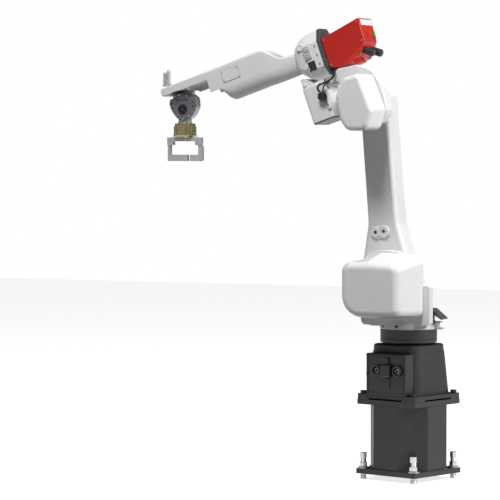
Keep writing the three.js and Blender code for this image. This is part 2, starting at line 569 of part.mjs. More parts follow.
function makeForearmCasing() {
  const low = 242;
  const front = 757;
  const outer = skin('yz', [bellySection(303, 336, 241, 47), bellySection(316, 336, 241, 48),
    bellySection(388, 350, 240, 52), bellySection(434, 402, 240, 58), bellySection(468, 411, low, FOREARM_HALF),
    bellySection(664, 410, low, FOREARM_HALF), bellySection(684, 410, 256, FOREARM_HALF),
    bellySection(724, 410, 340, FOREARM_HALF), bellySection(front, 409, 345, FOREARM_HALF)]);
  const inner = skin('yz', [bellySection(400, 350, 252, 44), bellySection(440, 392, 250, 50),
    bellySection(474, 402, 250, 53), bellySection(656, 401, 250, 53), bellySection(674, 401, 264, 53),
    bellySection(716, 401, 348, 53), bellySection(740, 400, 352, 53)]);
  const wiring = alongX(disc(26, 160, 420, 24)).translate(0, 0, ROLL_V);
  const shaft = alongX(disc(36.5, 190, 306, 28)).translate(0, 0, ROLL_V);
  const roof = prism('xz', [[front - 6, 345, 0], [852, 347, 4], [872, 368, 10], [962, 368, 12], [1002, 372, 14],
    [1000, 411, 16], [front - 6, 409.5, 0]], levels(-FOREARM_HALF, FOREARM_HALF, 8, 8), 2);
  const sweep = alongY(disc(WRIST_ARC + 4, FAR_ARM_IN, 80, 36)).translate(WRIST_U, 0, ROLL_V);
  const underRoof = box(front, 860, -46, 80, 320, 372);
  const stem = prism('xz', [[WRIST_U - 60, 368, 4], [WRIST_U - 32, 330, 20], [WRIST_U - 32, ROLL_V - 31, 30],
    [WRIST_U + 32, ROLL_V - 31, 30], [WRIST_U + 32, 330, 20], [WRIST_U + 55, 368, 4], [WRIST_U + 55, 407, 4],
    [WRIST_U - 60, 407, 4]], [[-FOREARM_HALF, 3], [-FOREARM_HALF + 3, 0], [FAR_ARM_IN, 0]]);
  const beltWell = skin('xz', [-FOREARM_HALF - 5, BELT_IN].map((w) => ({ w, points: beltLoop(4.5) })));
  const axleHole = alongY(disc(17.5, -FOREARM_HALF, 0, 24)).translate(WRIST_U, 0, ROLL_V);
  const motorBay = box(WRIST_U - 22, WRIST_U + 22, -33, 37, 370.5, 406.5);
  const motorHole = alongY(disc(10, -FOREARM_HALF, -30, 16)).translate(WRIST_U, 0, DRIVE_V);
  const panelWindow = box(600, 668, 40, 70, 336, 374, 4);
  const body = cut(join(outer, shaft, roof), sweep, underRoof);
  const tools = [inner, wiring, axleHole, beltWell, motorBay, motorHole, panelWindow];
  piece(elbow, 'forearm_casing', cut(join(body, stem), ...tools), WHITE);
  const panel = prism('xz', rectangle(590, 328, 679, 383, 7), levels(FOREARM_HALF + GAP, FOREARM_HALF + 3, 0, 1.5, 2), 3);
  piece(elbow, 'access_panel', panel, WHITE);
}

function makeForearmDrives() {
  const motorAlongX = (u0, y, v, size) => join(
    alongX(box(-size / 2, size / 2, -size / 2, size / 2, 0, 96, 6)).translate(u0, y, v),
    alongX(disc(size * 0.36, 95, 112, 20)).translate(u0, y, v));
  piece(elbow, 'j6_motor', motorAlongX(478, 0, 300, 58), MOTOR);
  const motor = join(box(WRIST_U - 20, WRIST_U + 20, -30, 34, 372, 405, 4),
    alongY(disc(6, BELT_OUT, -28, 16)).translate(WRIST_U, 0, DRIVE_V));
  piece(elbow, 'j5_motor', motor, MOTOR);
  const pulley = alongY(ring(6.4, DRIVE_R, BELT_OUT + 1, BELT_IN - 1, 24));
  piece(elbow, 'j5_drive_pulley', pulley.translate(WRIST_U, 0, DRIVE_V), STEEL);
  const cover = skin('xz', levels(-FOREARM_HALF - GAP, -FOREARM_HALF - 4, 0, 2).map(([w, inset]) =>
    ({ w, points: beltLoop(8 - inset) })));
  piece(elbow, 'belt_cover', cover, COVER);
}

// Wrist drive: a belt in a well on the far side of the forearm's tip, from the motor down to the wrist axis.
const FAR_ARM_IN = -33;
const BELT_OUT = -59;
const BELT_IN = -46;
const DRIVE_V = 384;
const DRIVE_R = 14;
const DRIVEN_R = 21;

// Loop round the two pulleys, a given distance outside them.
function beltLoop(extra) {
  const drop = DRIVE_V - ROLL_V;
  const lean = Math.asin((DRIVEN_R - DRIVE_R) / drop);
  const arc = (v, r, from, to) => Array.from({ length: 9 }, (_, k) => {
    const a = from + ((to - from) * k) / 8;
    return new THREE.Vector2(WRIST_U + (r + extra) * Math.cos(a), v + (r + extra) * Math.sin(a));
  });
  return [...arc(ROLL_V, DRIVEN_R, Math.PI - lean, Math.PI * 2 + lean), ...arc(DRIVE_V, DRIVE_R, lean, Math.PI - lean)];
}

function makeBelt() {
  const loop = (from, to, extra) => skin('xz', [from, to].map((w) => ({ w, points: beltLoop(extra) })));
  piece(elbow, 'j5_belt', cut(loop(BELT_OUT + 2, BELT_IN - 2, 3.2), loop(BELT_OUT, BELT_IN, 1)), RUBBER);
}

// Two air silencers standing on a small fitting at the tip of the forearm.
function makeAirFitting() {
  const tip = group(elbow, 980, 0, 415, 'y', -PITCH);
  const base = join(box(-14, 26, -12, 12, 3, 14, 3), box(-10, 4, -9, 9, 12, 26, 3));
  const tube = (x, z) => turned([[0, z - 2], [7, z - 2], [9, z + 4], [9, z + 46], [6.5, z + 56], [0, z + 56]], 18)
    .translate(x, 0, 0);
  piece(tip, 'air_fitting', join(base, tube(17, 14), tube(-3, 26)), LIGHT_GREY);
}

// ---------------------------------------------------------------- wrist (origin on the wrist axis)

const WRIST_FACE = [[-64, 53, 10], [-69, 12, 30], [-49, -30, 40], [-8, -58, 50], [29, -48, 40], [57, -14, 40],
  [72, 20, 16], [70, 44, 8], [8, 78, 60], [-40, 72, 16]];

function makeWristBody() {
  const body = prism('xz', WRIST_FACE, [[WRIST_BACK, 3], [WRIST_BACK + 3, 0], [WRIST_FRONT, 0]]);
  const neck = cut(disc(31, -60, -30, 32), box(-40, 40, WRIST_FRONT, 50, -70, 0, 0));
  const bore = disc(15, -70, 30, 24);
  const axle = alongY(disc(16, BELT_IN + 1, WRIST_BACK + 2, 24));
  const pulleyHub = alongY(disc(9, BELT_OUT + 1, BELT_IN + 2, 20));
  piece(wrist, 'wrist_body', cut(join(body, neck, axle, pulleyHub), bore), LIGHT_GREY);
  piece(wrist, 'j5_driven_pulley', alongY(ring(9 + GAP, DRIVEN_R, BELT_OUT + 1, BELT_IN - 1, 28)), STEEL);
  piece(wrist, 'j6_reducer', ring(10, 14.5, -56, 10, 20), STEEL);
}

function makeWristCover() {
  const y = WRIST_FRONT;
  const plate = prism('xz', WRIST_FACE, [[y + GAP, 3], [y + 8, 3], [y + 12, 7]]);
  const recess = prism('xz', [[-34, 16, 4], [38, 16, 4], [34, 46, 6], [-30, 52, 6]], [[y + 6, 0], [y + 20, 0]], 2);
  const seat = alongY(disc(24, y + 4, y + 20, 28));
  const slot = (x, z) => box(x - 6, x + 6, y + 7, y + 20, z - 2.5, z + 2.5, 0);
  const slots = [[-52, 34], [-54, 14], [54, 26], [52, 6]].map(([x, z]) => slot(x, z));
  piece(wrist, 'wrist_cover', cut(plate, recess, seat, ...slots), WRIST_GREY);
  const ringProfile = [[0, 4.3], [22, 4.3], [22, 16], [17, 16], [17, 10], [10, 10], [10, 17], [0, 17]];
  piece(wrist, 'hub_ring', alongY(turned(ringProfile, 20)).translate(0, y, 0), RUBBER);
}

// ---------------------------------------------------------------- tool

function makeGripperBody() {
  const top = -FLANGE_DROP;
  const flange = turned([[0, -60 - GAP], [34, -60 - GAP], [34, top], [0, top]], 32);
  const spigot = disc(9, -60 - GAP - 1, -40, 16);
  piece(wrist, 'tool_flange', join(flange, spigot), STEEL);
  const body = prism('xy', rectangle(-39, -38, 39, 38, 7), [[top - GAP, 2], [top - 3, 0], [-TOOL_DROP + 8, 0],
    [-TOOL_DROP, 5]], 3);
  const rail = box(-60, 60, -11, 11, -TOOL_DROP - 4, -TOOL_DROP + 9);
  const sidePlate = (side) => {
    const x = (a, b) => [Math.min(side * a, side * b), Math.max(side * a, side * b)];
    const knob = alongX(disc(7, ...x(44, 52), 16)).translate(0, 0, -112);
    return join(box(...x(38, 46), -30, 30, -124, -80, 3), knob);
  };
  piece(wrist, 'gripper_body', cut(join(body, sidePlate(1), sidePlate(-1)), rail), OLIVE);
}

// One finger per side: a carrier that runs in the body's rail, a knuckle, a post and a foot.
function makeFinger(side, name, footInner, extra = []) {
  const x = (a, b) => [Math.min(side * a, side * b), Math.max(side * a, side * b)];
  const slab = (a, b, y, z0, z1, r = 0) => box(...x(a, b), -y, y, z0, z1, r);
  const carrier = slab(8, 58, 10.5, -TOOL_DROP + 1, -TOOL_DROP + 8.6);
  const arm = slab(8, 64, 17, -150, -TOOL_DROP - 1);
  const stem = slab(12, 40, 10.5, -TOOL_DROP - 2, -TOOL_DROP + 4);
  const knuckle = slab(56, 88, 16, -168, -132, 5);
  const post = slab(72, 85, 12, -243, -160);
  const foot = slab(footInner, 85, 12, -243, -213);
  const plates = extra.map((bounds) => slab(...bounds));
  piece(wrist, name, join(carrier, stem, arm, knuckle, post, foot, ...plates), LIGHT_GREY);
}

[makePlates, makeColumn, makeLevellingBolts, makeBaseCasting, makeConnectorPanel,
  makeBaseDrive, makeCollar, makeTurntable, makeShoulderDrive, makeTurntableTrim, makeLowerArm, makePortBoss,
  makeElbowCasting, makeElbowDrive, makeRollHousing, makeRollMotor, makeControlBox, makeBoxConnectors, makeLead,
  makeRocker, makeForearmCasing, makeForearmDrives, makeBelt, makeAirFitting, makeWristBody, makeWristCover,
  makeGripperBody].forEach((make) => make());
makeFinger(1, 'finger_1', -16);
makeFinger(-1, 'finger_2', 30, [[84, 93, 12, -240, -172, 2]]);

export default robot;
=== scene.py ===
"""Looks of a six-axis robot arm on a pedestal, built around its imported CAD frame.

Every shape is laid out in millimetres in the local frame of the casting that it belongs to and is
then carried to the row frame in metres.
"""

import json
import math

import bmesh
import bpy
from mathutils import Matrix, Vector


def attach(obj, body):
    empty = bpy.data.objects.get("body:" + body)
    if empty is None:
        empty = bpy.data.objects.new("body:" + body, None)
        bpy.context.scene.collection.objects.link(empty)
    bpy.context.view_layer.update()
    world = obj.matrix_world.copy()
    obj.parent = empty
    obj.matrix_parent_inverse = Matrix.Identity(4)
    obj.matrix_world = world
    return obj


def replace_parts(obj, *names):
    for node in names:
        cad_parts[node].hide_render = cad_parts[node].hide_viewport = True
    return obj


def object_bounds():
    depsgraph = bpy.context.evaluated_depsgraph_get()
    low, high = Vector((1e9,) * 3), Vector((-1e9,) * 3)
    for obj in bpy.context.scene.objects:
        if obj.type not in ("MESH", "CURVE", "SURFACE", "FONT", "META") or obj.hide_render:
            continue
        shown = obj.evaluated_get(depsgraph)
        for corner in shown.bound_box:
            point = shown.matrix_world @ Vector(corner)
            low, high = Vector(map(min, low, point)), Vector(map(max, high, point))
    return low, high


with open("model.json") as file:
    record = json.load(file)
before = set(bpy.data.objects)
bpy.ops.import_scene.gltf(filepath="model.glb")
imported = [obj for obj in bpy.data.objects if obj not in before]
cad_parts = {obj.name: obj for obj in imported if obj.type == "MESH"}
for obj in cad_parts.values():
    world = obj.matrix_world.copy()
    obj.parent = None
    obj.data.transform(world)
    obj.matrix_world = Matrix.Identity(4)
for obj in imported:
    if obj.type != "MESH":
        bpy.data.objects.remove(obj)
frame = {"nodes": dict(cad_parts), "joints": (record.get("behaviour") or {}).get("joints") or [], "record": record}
cad_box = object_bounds()

MM = 0.001
ROUND = 10  # steps in a rounded corner
EDGE = 1.2  # softened edge of a casting

JOINTS = {joint["name"]: joint for joint in frame["joints"]}
NODE_SLOT = {part["node"]: part["material_slot"] for part in frame["record"]["subparts"]}
NODE_BODY = {node: body for body, nodes in frame["record"]["behaviour"]["bodies"].items() for node in nodes}


# ---------------------------------------------------------------- frames of the castings

def axes_matrix(origin, x_axis, z_axis):
    """Row-frame matrix of a casting's millimetre frame."""
    x = Vector(x_axis).normalized()
    z = Vector(z_axis).normalized()
    y = z.cross(x)
    matrix = Matrix((x, y, z)).transposed().to_4x4()
    return Matrix.Translation(origin) @ matrix @ Matrix.Scale(MM, 4)


def joint_point(name):
    return Vector(JOINTS[name]["pos_m"])


BASE_TURN = math.radians(-18)
ARM_UP = (joint_point("j3_elbow") - joint_point("j2_shoulder")).normalized()
REACH = Vector(JOINTS["j4_roll"]["axis"])
REACH_UP = REACH.cross(Vector((0, 1, 0)))

ROW = Matrix.Scale(MM, 4)
PEDESTAL = Matrix.Rotation(BASE_TURN, 4, "Z") @ ROW
ARM = axes_matrix(joint_point("j2_shoulder"), Vector((0, 1, 0)).cross(ARM_UP), ARM_UP)
ELBOW = axes_matrix(joint_point("j3_elbow"), REACH, REACH_UP)
WRIST = Matrix.Translation(joint_point("j5_wrist")) @ ROW


# ---------------------------------------------------------------- driving dimensions

GAP = 0.3
PLATE = 342
PLATE_THICK = 24
FLANGE_TOP = 342
FOOT_DROP = 26
BOLT_PITCH = 146
CASTING_TOP = 592
NECK_TOP = 600
COLLAR_TOP = 661
COLLAR_R = 129.5
SHOULDER_X, SHOULDER_Z = (value / MM for value in (joint_point("j2_shoulder").x, joint_point("j2_shoulder").z))
ARM_LENGTH = (joint_point("j3_elbow") - joint_point("j2_shoulder")).length / MM
ARM_HALF = 63
SIDE = ARM_HALF + 3.5
SIDE_OUT = 112
ELBOW_OUT = 148
J2_COVER_OUT = 310
J3_COVER_OUT = 328
ROLL_V = 288
HOUSING_BACK = 168
HOUSING_FRONT = 300
WRIST_U = 933
FOREARM_HALF = 60
WRIST_ARC = 84
WRIST_FRONT = 18
WRIST_BACK = -30
FAR_ARM_IN = -33
BELT_IN = -46
DRIVE_V = 384
DRIVE_R = 14
DRIVEN_R = 21
BOX_HALF = 81


# ---------------------------------------------------------------- shaping helpers

PLANES = {
    "xy": lambda u, v, w: Vector((u, v, w)),
    "xz": lambda u, v, w: Vector((u, w, v)),
    "yz": lambda u, v, w: Vector((w, u, v)),
}
ALONG_Y = Matrix.Rotation(math.radians(-90), 4, "X")
ALONG_X = Matrix.Rotation(math.radians(90), 4, "Y")


def shift(x, y, z):
    return Matrix.Translation((x, y, z))


def outline(corners, inset=0.0, steps=ROUND):
    """Points round a polygon whose corners are (x, y, radius), drawn in by inset."""
    spots = [Vector(corner[:2]) for corner in corners]
    count = len(spots)

    def inward(i):
        edge = (spots[(i + 1) % count] - spots[i % count]).normalized()
        return Vector((-edge.y, edge.x))

    points = []
    for i, corner in enumerate(corners):
        before, after = inward(i - 1), inward(i)
        mitre = (before + after) / (1 + before.dot(after))
        point = spots[i] + mitre * inset
        turn = before.x * after.y - before.y * after.x
        radius = max(corner[2] - inset, 0.8) if turn > 0 else corner[2] + inset
        if corner[2] == 0 or abs(turn) < 1e-6:
            points.append(point)
            continue
        side = math.copysign(radius, turn)
        centre = point + mitre * side
        start = math.atan2(-before.y * side, -before.x * side)
        sweep = math.atan2(turn, before.dot(after))
        for k in range(steps + 1):
            angle = start + sweep * k / steps
            points.append(centre + Vector((math.cos(angle), math.sin(angle))) * radius)
    return points


def mesh_of(vertices, faces):
    """Closed mesh with its faces turned outward."""
    bm = bmesh.new()
    spots = [bm.verts.new(v) for v in vertices]
    for face in faces:
        bm.faces.new([spots[i] for i in face])
    bmesh.ops.remove_doubles(bm, verts=bm.verts, dist=1e-3)
    bmesh.ops.recalc_face_normals(bm, faces=bm.faces)
    mesh = bpy.data.meshes.new("shape")
    bm.to_mesh(mesh)
    bm.free()
    return mesh


def skin(plane, sections):
    """Solid skinned through sections, each (w, points), laid in one of the three planes."""
    place = PLANES[plane]
    count = len(sections[0][1])
    vertices = [place(p[0], p[1], w) for w, points in sections for p in points]
    faces = [list(range(count)), [len(vertices) - 1 - i for i in range(count)]]
    for ring_index in range(len(sections) - 1):
        low, high = ring_index * count, (ring_index + 1) * count
        faces += [[low + i, low + (i + 1) % count, high + (i + 1) % count, high + i] for i in range(count)]
    return mesh_of(vertices, faces)


def levels(start, end, start_radius=0, end_radius=0, steps=6):
    """(w, inset) pairs from one height to another, with an edge radius at either end."""
    way = math.copysign(1, end - start)
    found = [] if start_radius else [(start, 0)]
    arc = [math.pi / 2 * k / steps for k in range(steps + 1)]
    if start_radius:
        found += [(start + way * start_radius * (1 - math.cos(a)), start_radius * (1 - math.sin(a))) for a in arc]
    if end_radius:
        found += [(end - way * end_radius * (1 - math.cos(a)), end_radius * (1 - math.sin(a))) for a in arc[::-1]]
    else:
        found.append((end, 0))
    return found


def prism(plane, corners, heights, steps=ROUND):
    return skin(plane, [(w, outline(corners, inset, steps)) for w, inset in heights])


def rectangle(x0, y0, x1, y1, r=0):
    return [(x0, y0, r), (x1, y0, r), (x1, y1, r), (x0, y1, r)]


def box(x0, x1, y0, y1, z0, z1, r=0):
    return prism("xy", rectangle(x0, y0, x1, y1, r), [(z0, 0), (z1, 0)])


def turned(profile, segments=64):
    """Solid of revolution about Z; the profile of (radius, height) starts and ends on the axis or closes."""
    closed = profile[0] == profile[-1]
    points = profile[:-1] if closed else profile
    vertices = []
    rings = []
    for radius, height in points:
        if radius == 0:
            rings.append([len(vertices)] * segments)
            vertices.append(Vector((0, 0, height)))
            continue
        rings.append([len(vertices) + i for i in range(segments)])
        for i in range(segments):
            angle = 2 * math.pi * i / segments
            vertices.append(Vector((radius * math.cos(angle), radius * math.sin(angle), height)))
    pairs = list(zip(rings, rings[1:])) + ([(rings[-1], rings[0])] if closed else [])
    faces = []
    for low, high in pairs:
        for i in range(segments):
            j = (i + 1) % segments
            face = list(dict.fromkeys([low[i], low[j], high[j], high[i]]))
            if len(face) > 2:
                faces.append(face)
    return mesh_of(vertices, faces)


def disc(r, z0, z1, segments=64):
    return turned([(0, z0), (r, z0), (r, z1), (0, z1)], segments)


def moved(mesh, *matrices):
    """The same mesh after the matrices, first one first."""
    for matrix in matrices:
        mesh.transform(matrix)
    return mesh


def circle_corners(x, y, r, count, phase=0.0):
    angles = [phase + 2 * math.pi * i / count for i in range(count)]
    return [(x + r * math.cos(a), y + r * math.sin(a), 0) for a in angles]


def hexagon(flats, z0, z1):
    return prism("xy", circle_corners(0, 0, flats / math.sqrt(3), 6), [(z0, 0), (z1, 0)])


def combine(operation, body, tools):
    """The body after a boolean with each tool."""
    held = bpy.data.objects.new("body", body)
    scene = bpy.context.scene
    scene.collection.objects.link(held)
    cutters = []
    for tool in tools:
        cutter = bpy.data.objects.new("tool", tool)
        scene.collection.objects.link(cutter)
        cutters.append(cutter)
        step = held.modifiers.new("step", "BOOLEAN")
        step.operation = operation
        step.solver = "EXACT"
        step.object = cutter
    bpy.context.view_layer.update()
    result = bpy.data.meshes.new_from_object(held.evaluated_get(bpy.context.evaluated_depsgraph_get()))
    for spent in [held, *cutters]:
        bpy.data.objects.remove(spent)
    return result


def cut(body, *tools):
    return combine("DIFFERENCE", body, tools)


def join(body, *others):
    return combine("UNION", body, others)


def together(*meshes):
    """Several closed meshes held in one mesh, with no boolean."""
    bm = bmesh.new()
    for mesh in meshes:
        bm.from_mesh(mesh)
    result = bpy.data.meshes.new("shape")
    bm.to_mesh(result)
    bm.free()
    return result


def soften(mesh, width, angle=28):
    """Merges flat faces and rounds the sharp edges."""
    bm = bmesh.new()
    bm.from_mesh(mesh)
    bmesh.ops.remove_doubles(bm, verts=bm.verts, dist=2e-3)
    bmesh.ops.dissolve_limit(bm, angle_limit=math.radians(0.6), verts=bm.verts, edges=bm.edges)
    if width:
        sharp = [e for e in bm.edges if len(e.link_faces) == 2 and e.calc_face_angle(0) > math.radians(angle)]
        bmesh.ops.bevel(bm, geom=sharp, offset=width, offset_type="OFFSET", segments=2, profile=0.6,
                        affect="EDGES", clamp_overlap=True)
    bm.to_mesh(mesh)
    bm.free()
    return mesh


def finish_piece(name, mesh, body, material):
    """A shaded object of the mesh, riding on its body."""
    mesh.name = name
    mesh.shade_smooth()
    mesh.set_sharp_from_angle(angle=math.radians(38))
    mesh.materials.clear()
    mesh.materials.append(material)
    piece = bpy.data.objects.new(name, mesh)
    bpy.context.scene.collection.objects.link(piece)
    even = piece.modifiers.new("even_shading", "WEIGHTED_NORMAL")
    even.keep_sharp = True
    even.weight = 80
    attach(piece, body)
    return piece


def shape(node, mesh, place, edge=EDGE, material=None):
    """The visible piece of a CAD node, from a mesh in the casting's own frame."""
    soften(mesh, edge)
    mesh.transform(place)
    slot = NODE_SLOT[node]
    piece = finish_piece(node + "_piece", mesh, NODE_BODY[node], material or MATERIALS[slot])
    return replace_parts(piece, node)


def refined(node, edge=EDGE, material=None):
    """The visible piece of a CAD node whose own shape is right, with its edges softened."""
    mesh = frame["nodes"][node].data.copy()
    mesh.transform(Matrix.Scale(1 / MM, 4))
    return shape(node, mesh, ROW, edge, material)


def detail(name, mesh, place, body, slot, edge=0.0, material=None):
    """A small visible piece with no CAD node of its own."""
    soften(mesh, edge)
    mesh.transform(place)
    return finish_piece(name, mesh, body, material or MATERIALS[slot])


# ---------------------------------------------------------------- materials

def new_material(name):
    material = bpy.data.materials.new(name)
    material.use_nodes = True
    tree = material.node_tree
    return material, tree, tree.nodes["Principled BSDF"]


def noise(tree, scale, detail_level=4.0, roughness=0.55):
    spot = tree.nodes.new("ShaderNodeTexCoord")
    texture = tree.nodes.new("ShaderNodeTexNoise")
    texture.inputs["Scale"].default_value = scale
    texture.inputs["Detail"].default_value = detail_level
    texture.inputs["Roughness"].default_value = roughness
    tree.links.new(spot.outputs["Object"], texture.inputs["Vector"])
    return texture.outputs["Fac"]


def remap(tree, value, low, high):
    node = tree.nodes.new("ShaderNodeMapRange")
    node.inputs["To Min"].default_value = low
    node.inputs["To Max"].default_value = high
    tree.links.new(value, node.inputs["Value"])
    return node.outputs["Result"]


def tinted(tree, value, dark, light):
    ramp = tree.nodes.new("ShaderNodeValToRGB")
    ramp.color_ramp.elements[0].position = 0.3
    ramp.color_ramp.elements[0].color = (*dark, 1)
    ramp.color_ramp.elements[1].position = 0.7
    ramp.color_ramp.elements[1].color = (*light, 1)
    tree.links.new(value, ramp.inputs["Fac"])
    return ramp.outputs["Color"]


def bumped(tree, shader, height, strength, distance):
    bump = tree.nodes.new("ShaderNodeBump")
    bump.inputs["Strength"].default_value = strength
    bump.inputs["Distance"].default_value = distance
    tree.links.new(height, bump.inputs["Height"])
    tree.links.new(bump.outputs["Normal"], shader.inputs["Normal"])
    return bump


def worn_edges(tree, base, wear, amount):
    """Mixes in a second colour along convex edges, broken up by noise."""
    geometry = tree.nodes.new("ShaderNodeNewGeometry")
    mask = tree.nodes.new("ShaderNodeMapRange")
    mask.inputs["From Min"].default_value = 0.52
    mask.inputs["From Max"].default_value = 0.6
    mask.inputs["To Max"].default_value = amount
    tree.links.new(geometry.outputs["Pointiness"], mask.inputs["Value"])
    broken = tree.nodes.new("ShaderNodeMath")
    broken.operation = "MULTIPLY"
    tree.links.new(mask.outputs["Result"], broken.inputs[0])
    tree.links.new(noise(tree, 55, 6), broken.inputs[1])
    mix = tree.nodes.new("ShaderNodeMix")
    mix.data_type = "RGBA"
    mix.inputs["B"].default_value = (*wear, 1)
    tree.links.new(broken.outputs["Value"], mix.inputs["Factor"])
    tree.links.new(base, mix.inputs["A"])
    return mix.outputs["Result"]


def surface(name, color, spread=0.03, roughness=(0.35, 0.45), metallic=0.0, grain=900, bump=0.06,
            depth=0.0002, wear=None, wear_amount=0.5, coat=0.0):
    """Painted, moulded or metal surface with cloudy colour, fine grain and, if asked, worn edges."""
    material, tree, shader = new_material(name)
    dark = tuple(max(c * (1 - spread), 0) for c in color)
    light = tuple(min(c * (1 + spread), 1) for c in color)
    base = tinted(tree, noise(tree, 6, 5), dark, light)
    if wear:
        base = worn_edges(tree, base, wear, wear_amount)
    tree.links.new(base, shader.inputs["Base Color"])
    tree.links.new(remap(tree, noise(tree, 24, 5), *roughness), shader.inputs["Roughness"])
    shader.inputs["Metallic"].default_value = metallic
    shader.inputs["Coat Weight"].default_value = coat
    shader.inputs["Coat Roughness"].default_value = 0.2
    bumped(tree, shader, noise(tree, grain, 3), bump, depth)
    return material


def make_materials():
    white = (0.78, 0.78, 0.775)
    return {
        "white_casting": surface("white_casting", white, 0.015, (0.38, 0.5), grain=650, bump=0.10, depth=0.0004),
        "white_cover": surface("white_cover", (0.82, 0.82, 0.815), 0.012, (0.3, 0.4), grain=1500, bump=0.03),
        "black_steel": surface("black_steel", (0.006, 0.0062, 0.007), 0.12, (0.42, 0.56), grain=500, bump=0.12,
                               depth=0.0004, wear=(0.07, 0.07, 0.075)),
        "black_iron": surface("black_iron", (0.007, 0.0072, 0.008), 0.15, (0.45, 0.6), grain=260, bump=0.22,
                              depth=0.0006, wear=(0.075, 0.075, 0.08)),
        "dark_grey": surface("dark_grey", (0.055, 0.062, 0.062), 0.06, (0.4, 0.52), grain=700, bump=0.08),
        "steel": surface("steel", (0.55, 0.55, 0.56), 0.10, (0.24, 0.42), metallic=1.0, grain=420, bump=0.12),
        "motor_black": surface("motor_black", (0.028, 0.029, 0.032), 0.08, (0.45, 0.6), grain=420, bump=0.15),
        "box_red": surface("box_red", (0.50, 0.010, 0.004), 0.04, (0.34, 0.46), grain=800, bump=0.05,
                           wear=(0.75, 0.10, 0.06), wear_amount=0.35),
        "black_plastic": surface("black_plastic", (0.012, 0.012, 0.013), 0.10, (0.38, 0.5), grain=1300, bump=0.08),
        "black_rubber": surface("black_rubber", (0.01, 0.01, 0.01), 0.12, (0.6, 0.75), grain=1100, bump=0.15),
        "switch_green": surface("switch_green", (0.02, 0.42, 0.06), 0.05, (0.25, 0.35), grain=1500, bump=0.03),
        "wrist_grey": surface("wrist_grey", (0.15, 0.15, 0.165), 0.06, (0.38, 0.5), metallic=0.2, grain=700,
                              bump=0.12, wear=(0.4, 0.4, 0.42)),
        "gripper_olive": surface("gripper_olive", (0.34, 0.29, 0.13), 0.10, (0.32, 0.46), metallic=0.75,
                                 grain=520, bump=0.12, wear=(0.7, 0.64, 0.42)),
        "light_grey": surface("light_grey", (0.50, 0.51, 0.52), 0.04, (0.34, 0.48), metallic=0.3, grain=700,
                              bump=0.08, wear=(0.75, 0.75, 0.76)),
        "label": surface("label", (0.80, 0.80, 0.78), 0.02, (0.4, 0.5), grain=2000, bump=0.02),
    }


MATERIALS = make_materials()


# ---------------------------------------------------------------- pedestal

SQUARE = [(1, 1), (-1, 1), (-1, -1), (1, -1)]


def make_pedestal():
    for node in ("base_plate", "mounting_flange", "column"):
        refined(node, 1.6)
    for index, (sx, sy) in enumerate(SQUARE):
        shape(f"levelling_bolt_{index + 1}", levelling_bolt(), PEDESTAL @ shift(sx * BOLT_PITCH, sy * BOLT_PITCH, 0),
              0.5)
        cap = cut(disc(14, 366.3, 380, 40), hexagon(12, 372, 390))
        detail(f"flange_screw_{index + 1}", cap, PEDESTAL @ shift(sx * BOLT_PITCH, sy * BOLT_PITCH, 0), "pedestal",
               "black_steel", 0.8)
    make_column_welds()


def levelling_bolt():
    """Threaded jack bolt with a flanged nut above the plate and a hexagon head."""
    top = PLATE_THICK + GAP
    thread = [(13.9 if k % 2 else 12.7, top + 27 + 2.1 * k) for k in range(20)]
    foot = [(14.5 if k % 2 else 13.4, -FOOT_DROP + 1 + 2.1 * k) for k in range(9)]
    screw = turned([(0, -FOOT_DROP), (13, -FOOT_DROP), *foot, (13, -4), (13, 72), (0, 72)], 40)
    upper = turned([(0, top + 26), (12.7, top + 26), *thread, (12.7, 71), (0, 71)], 40)
    washer = turned([(0, top), (26, top), (25.6, top + 5), (15, top + 9), (0, top + 9)], 48)
    return together(screw, upper, washer, hexagon(34, top + 8, top + 26), hexagon(29, 70, 96))


def make_column_welds():
    """Weld bead where the column meets the base plate."""
    corners = circle_corners(0, 0, 168 / math.cos(math.pi / 8), 8, math.pi / 8)
    low = PLATE_THICK
    bead = skin("xy", [(low, outline(corners, -5, 1)), (low + 2, outline(corners, -4.4, 1)),
                       (low + 5, outline(corners, -0.2, 1))])
    hole = prism("xy", corners, [(low - 1, 2), (low + 8, 2)], 1)
    detail("column_weld", cut(bead, hole), PEDESTAL, "pedestal", "black_steel", 0.6)


def make_base_casting():
    bottom = FLANGE_TOP + GAP
    top = FLANGE_TOP + PLATE_THICK
    side = PLATE / 2
    flange = prism("xy", rectangle(-side, -side, side, side, 22), [(bottom, 0), (top, 0)])

    def ring_at(w, half, r):
        return w, outline(rectangle(-half, -half, half, half, r), 0, 16)

    cone = skin("xy", [ring_at(bottom + 8, 150, 70), ring_at(top, 150, 70), ring_at(560, 138, 78),
                       ring_at(562, 136, 78), ring_at(CASTING_TOP - 4, 135, 78), ring_at(CASTING_TOP, 131, 76)])
    neck = disc(100, CASTING_TOP - 5, NECK_TOP, 72)
    slots = [moved(box(-95, 95, side - 40, side + 10, bottom - 5, bottom + 7),
                   Matrix.Rotation(math.radians(turn), 4, "Z")) for turn in (0, 90, 180, 270)]
    seat = box(-128, 104, 125, 200, top + 1, 556)
    body = cut(join(flange, cone, neck), seat, *slots)
    shape("base_casting", body, PEDESTAL, 1.6)


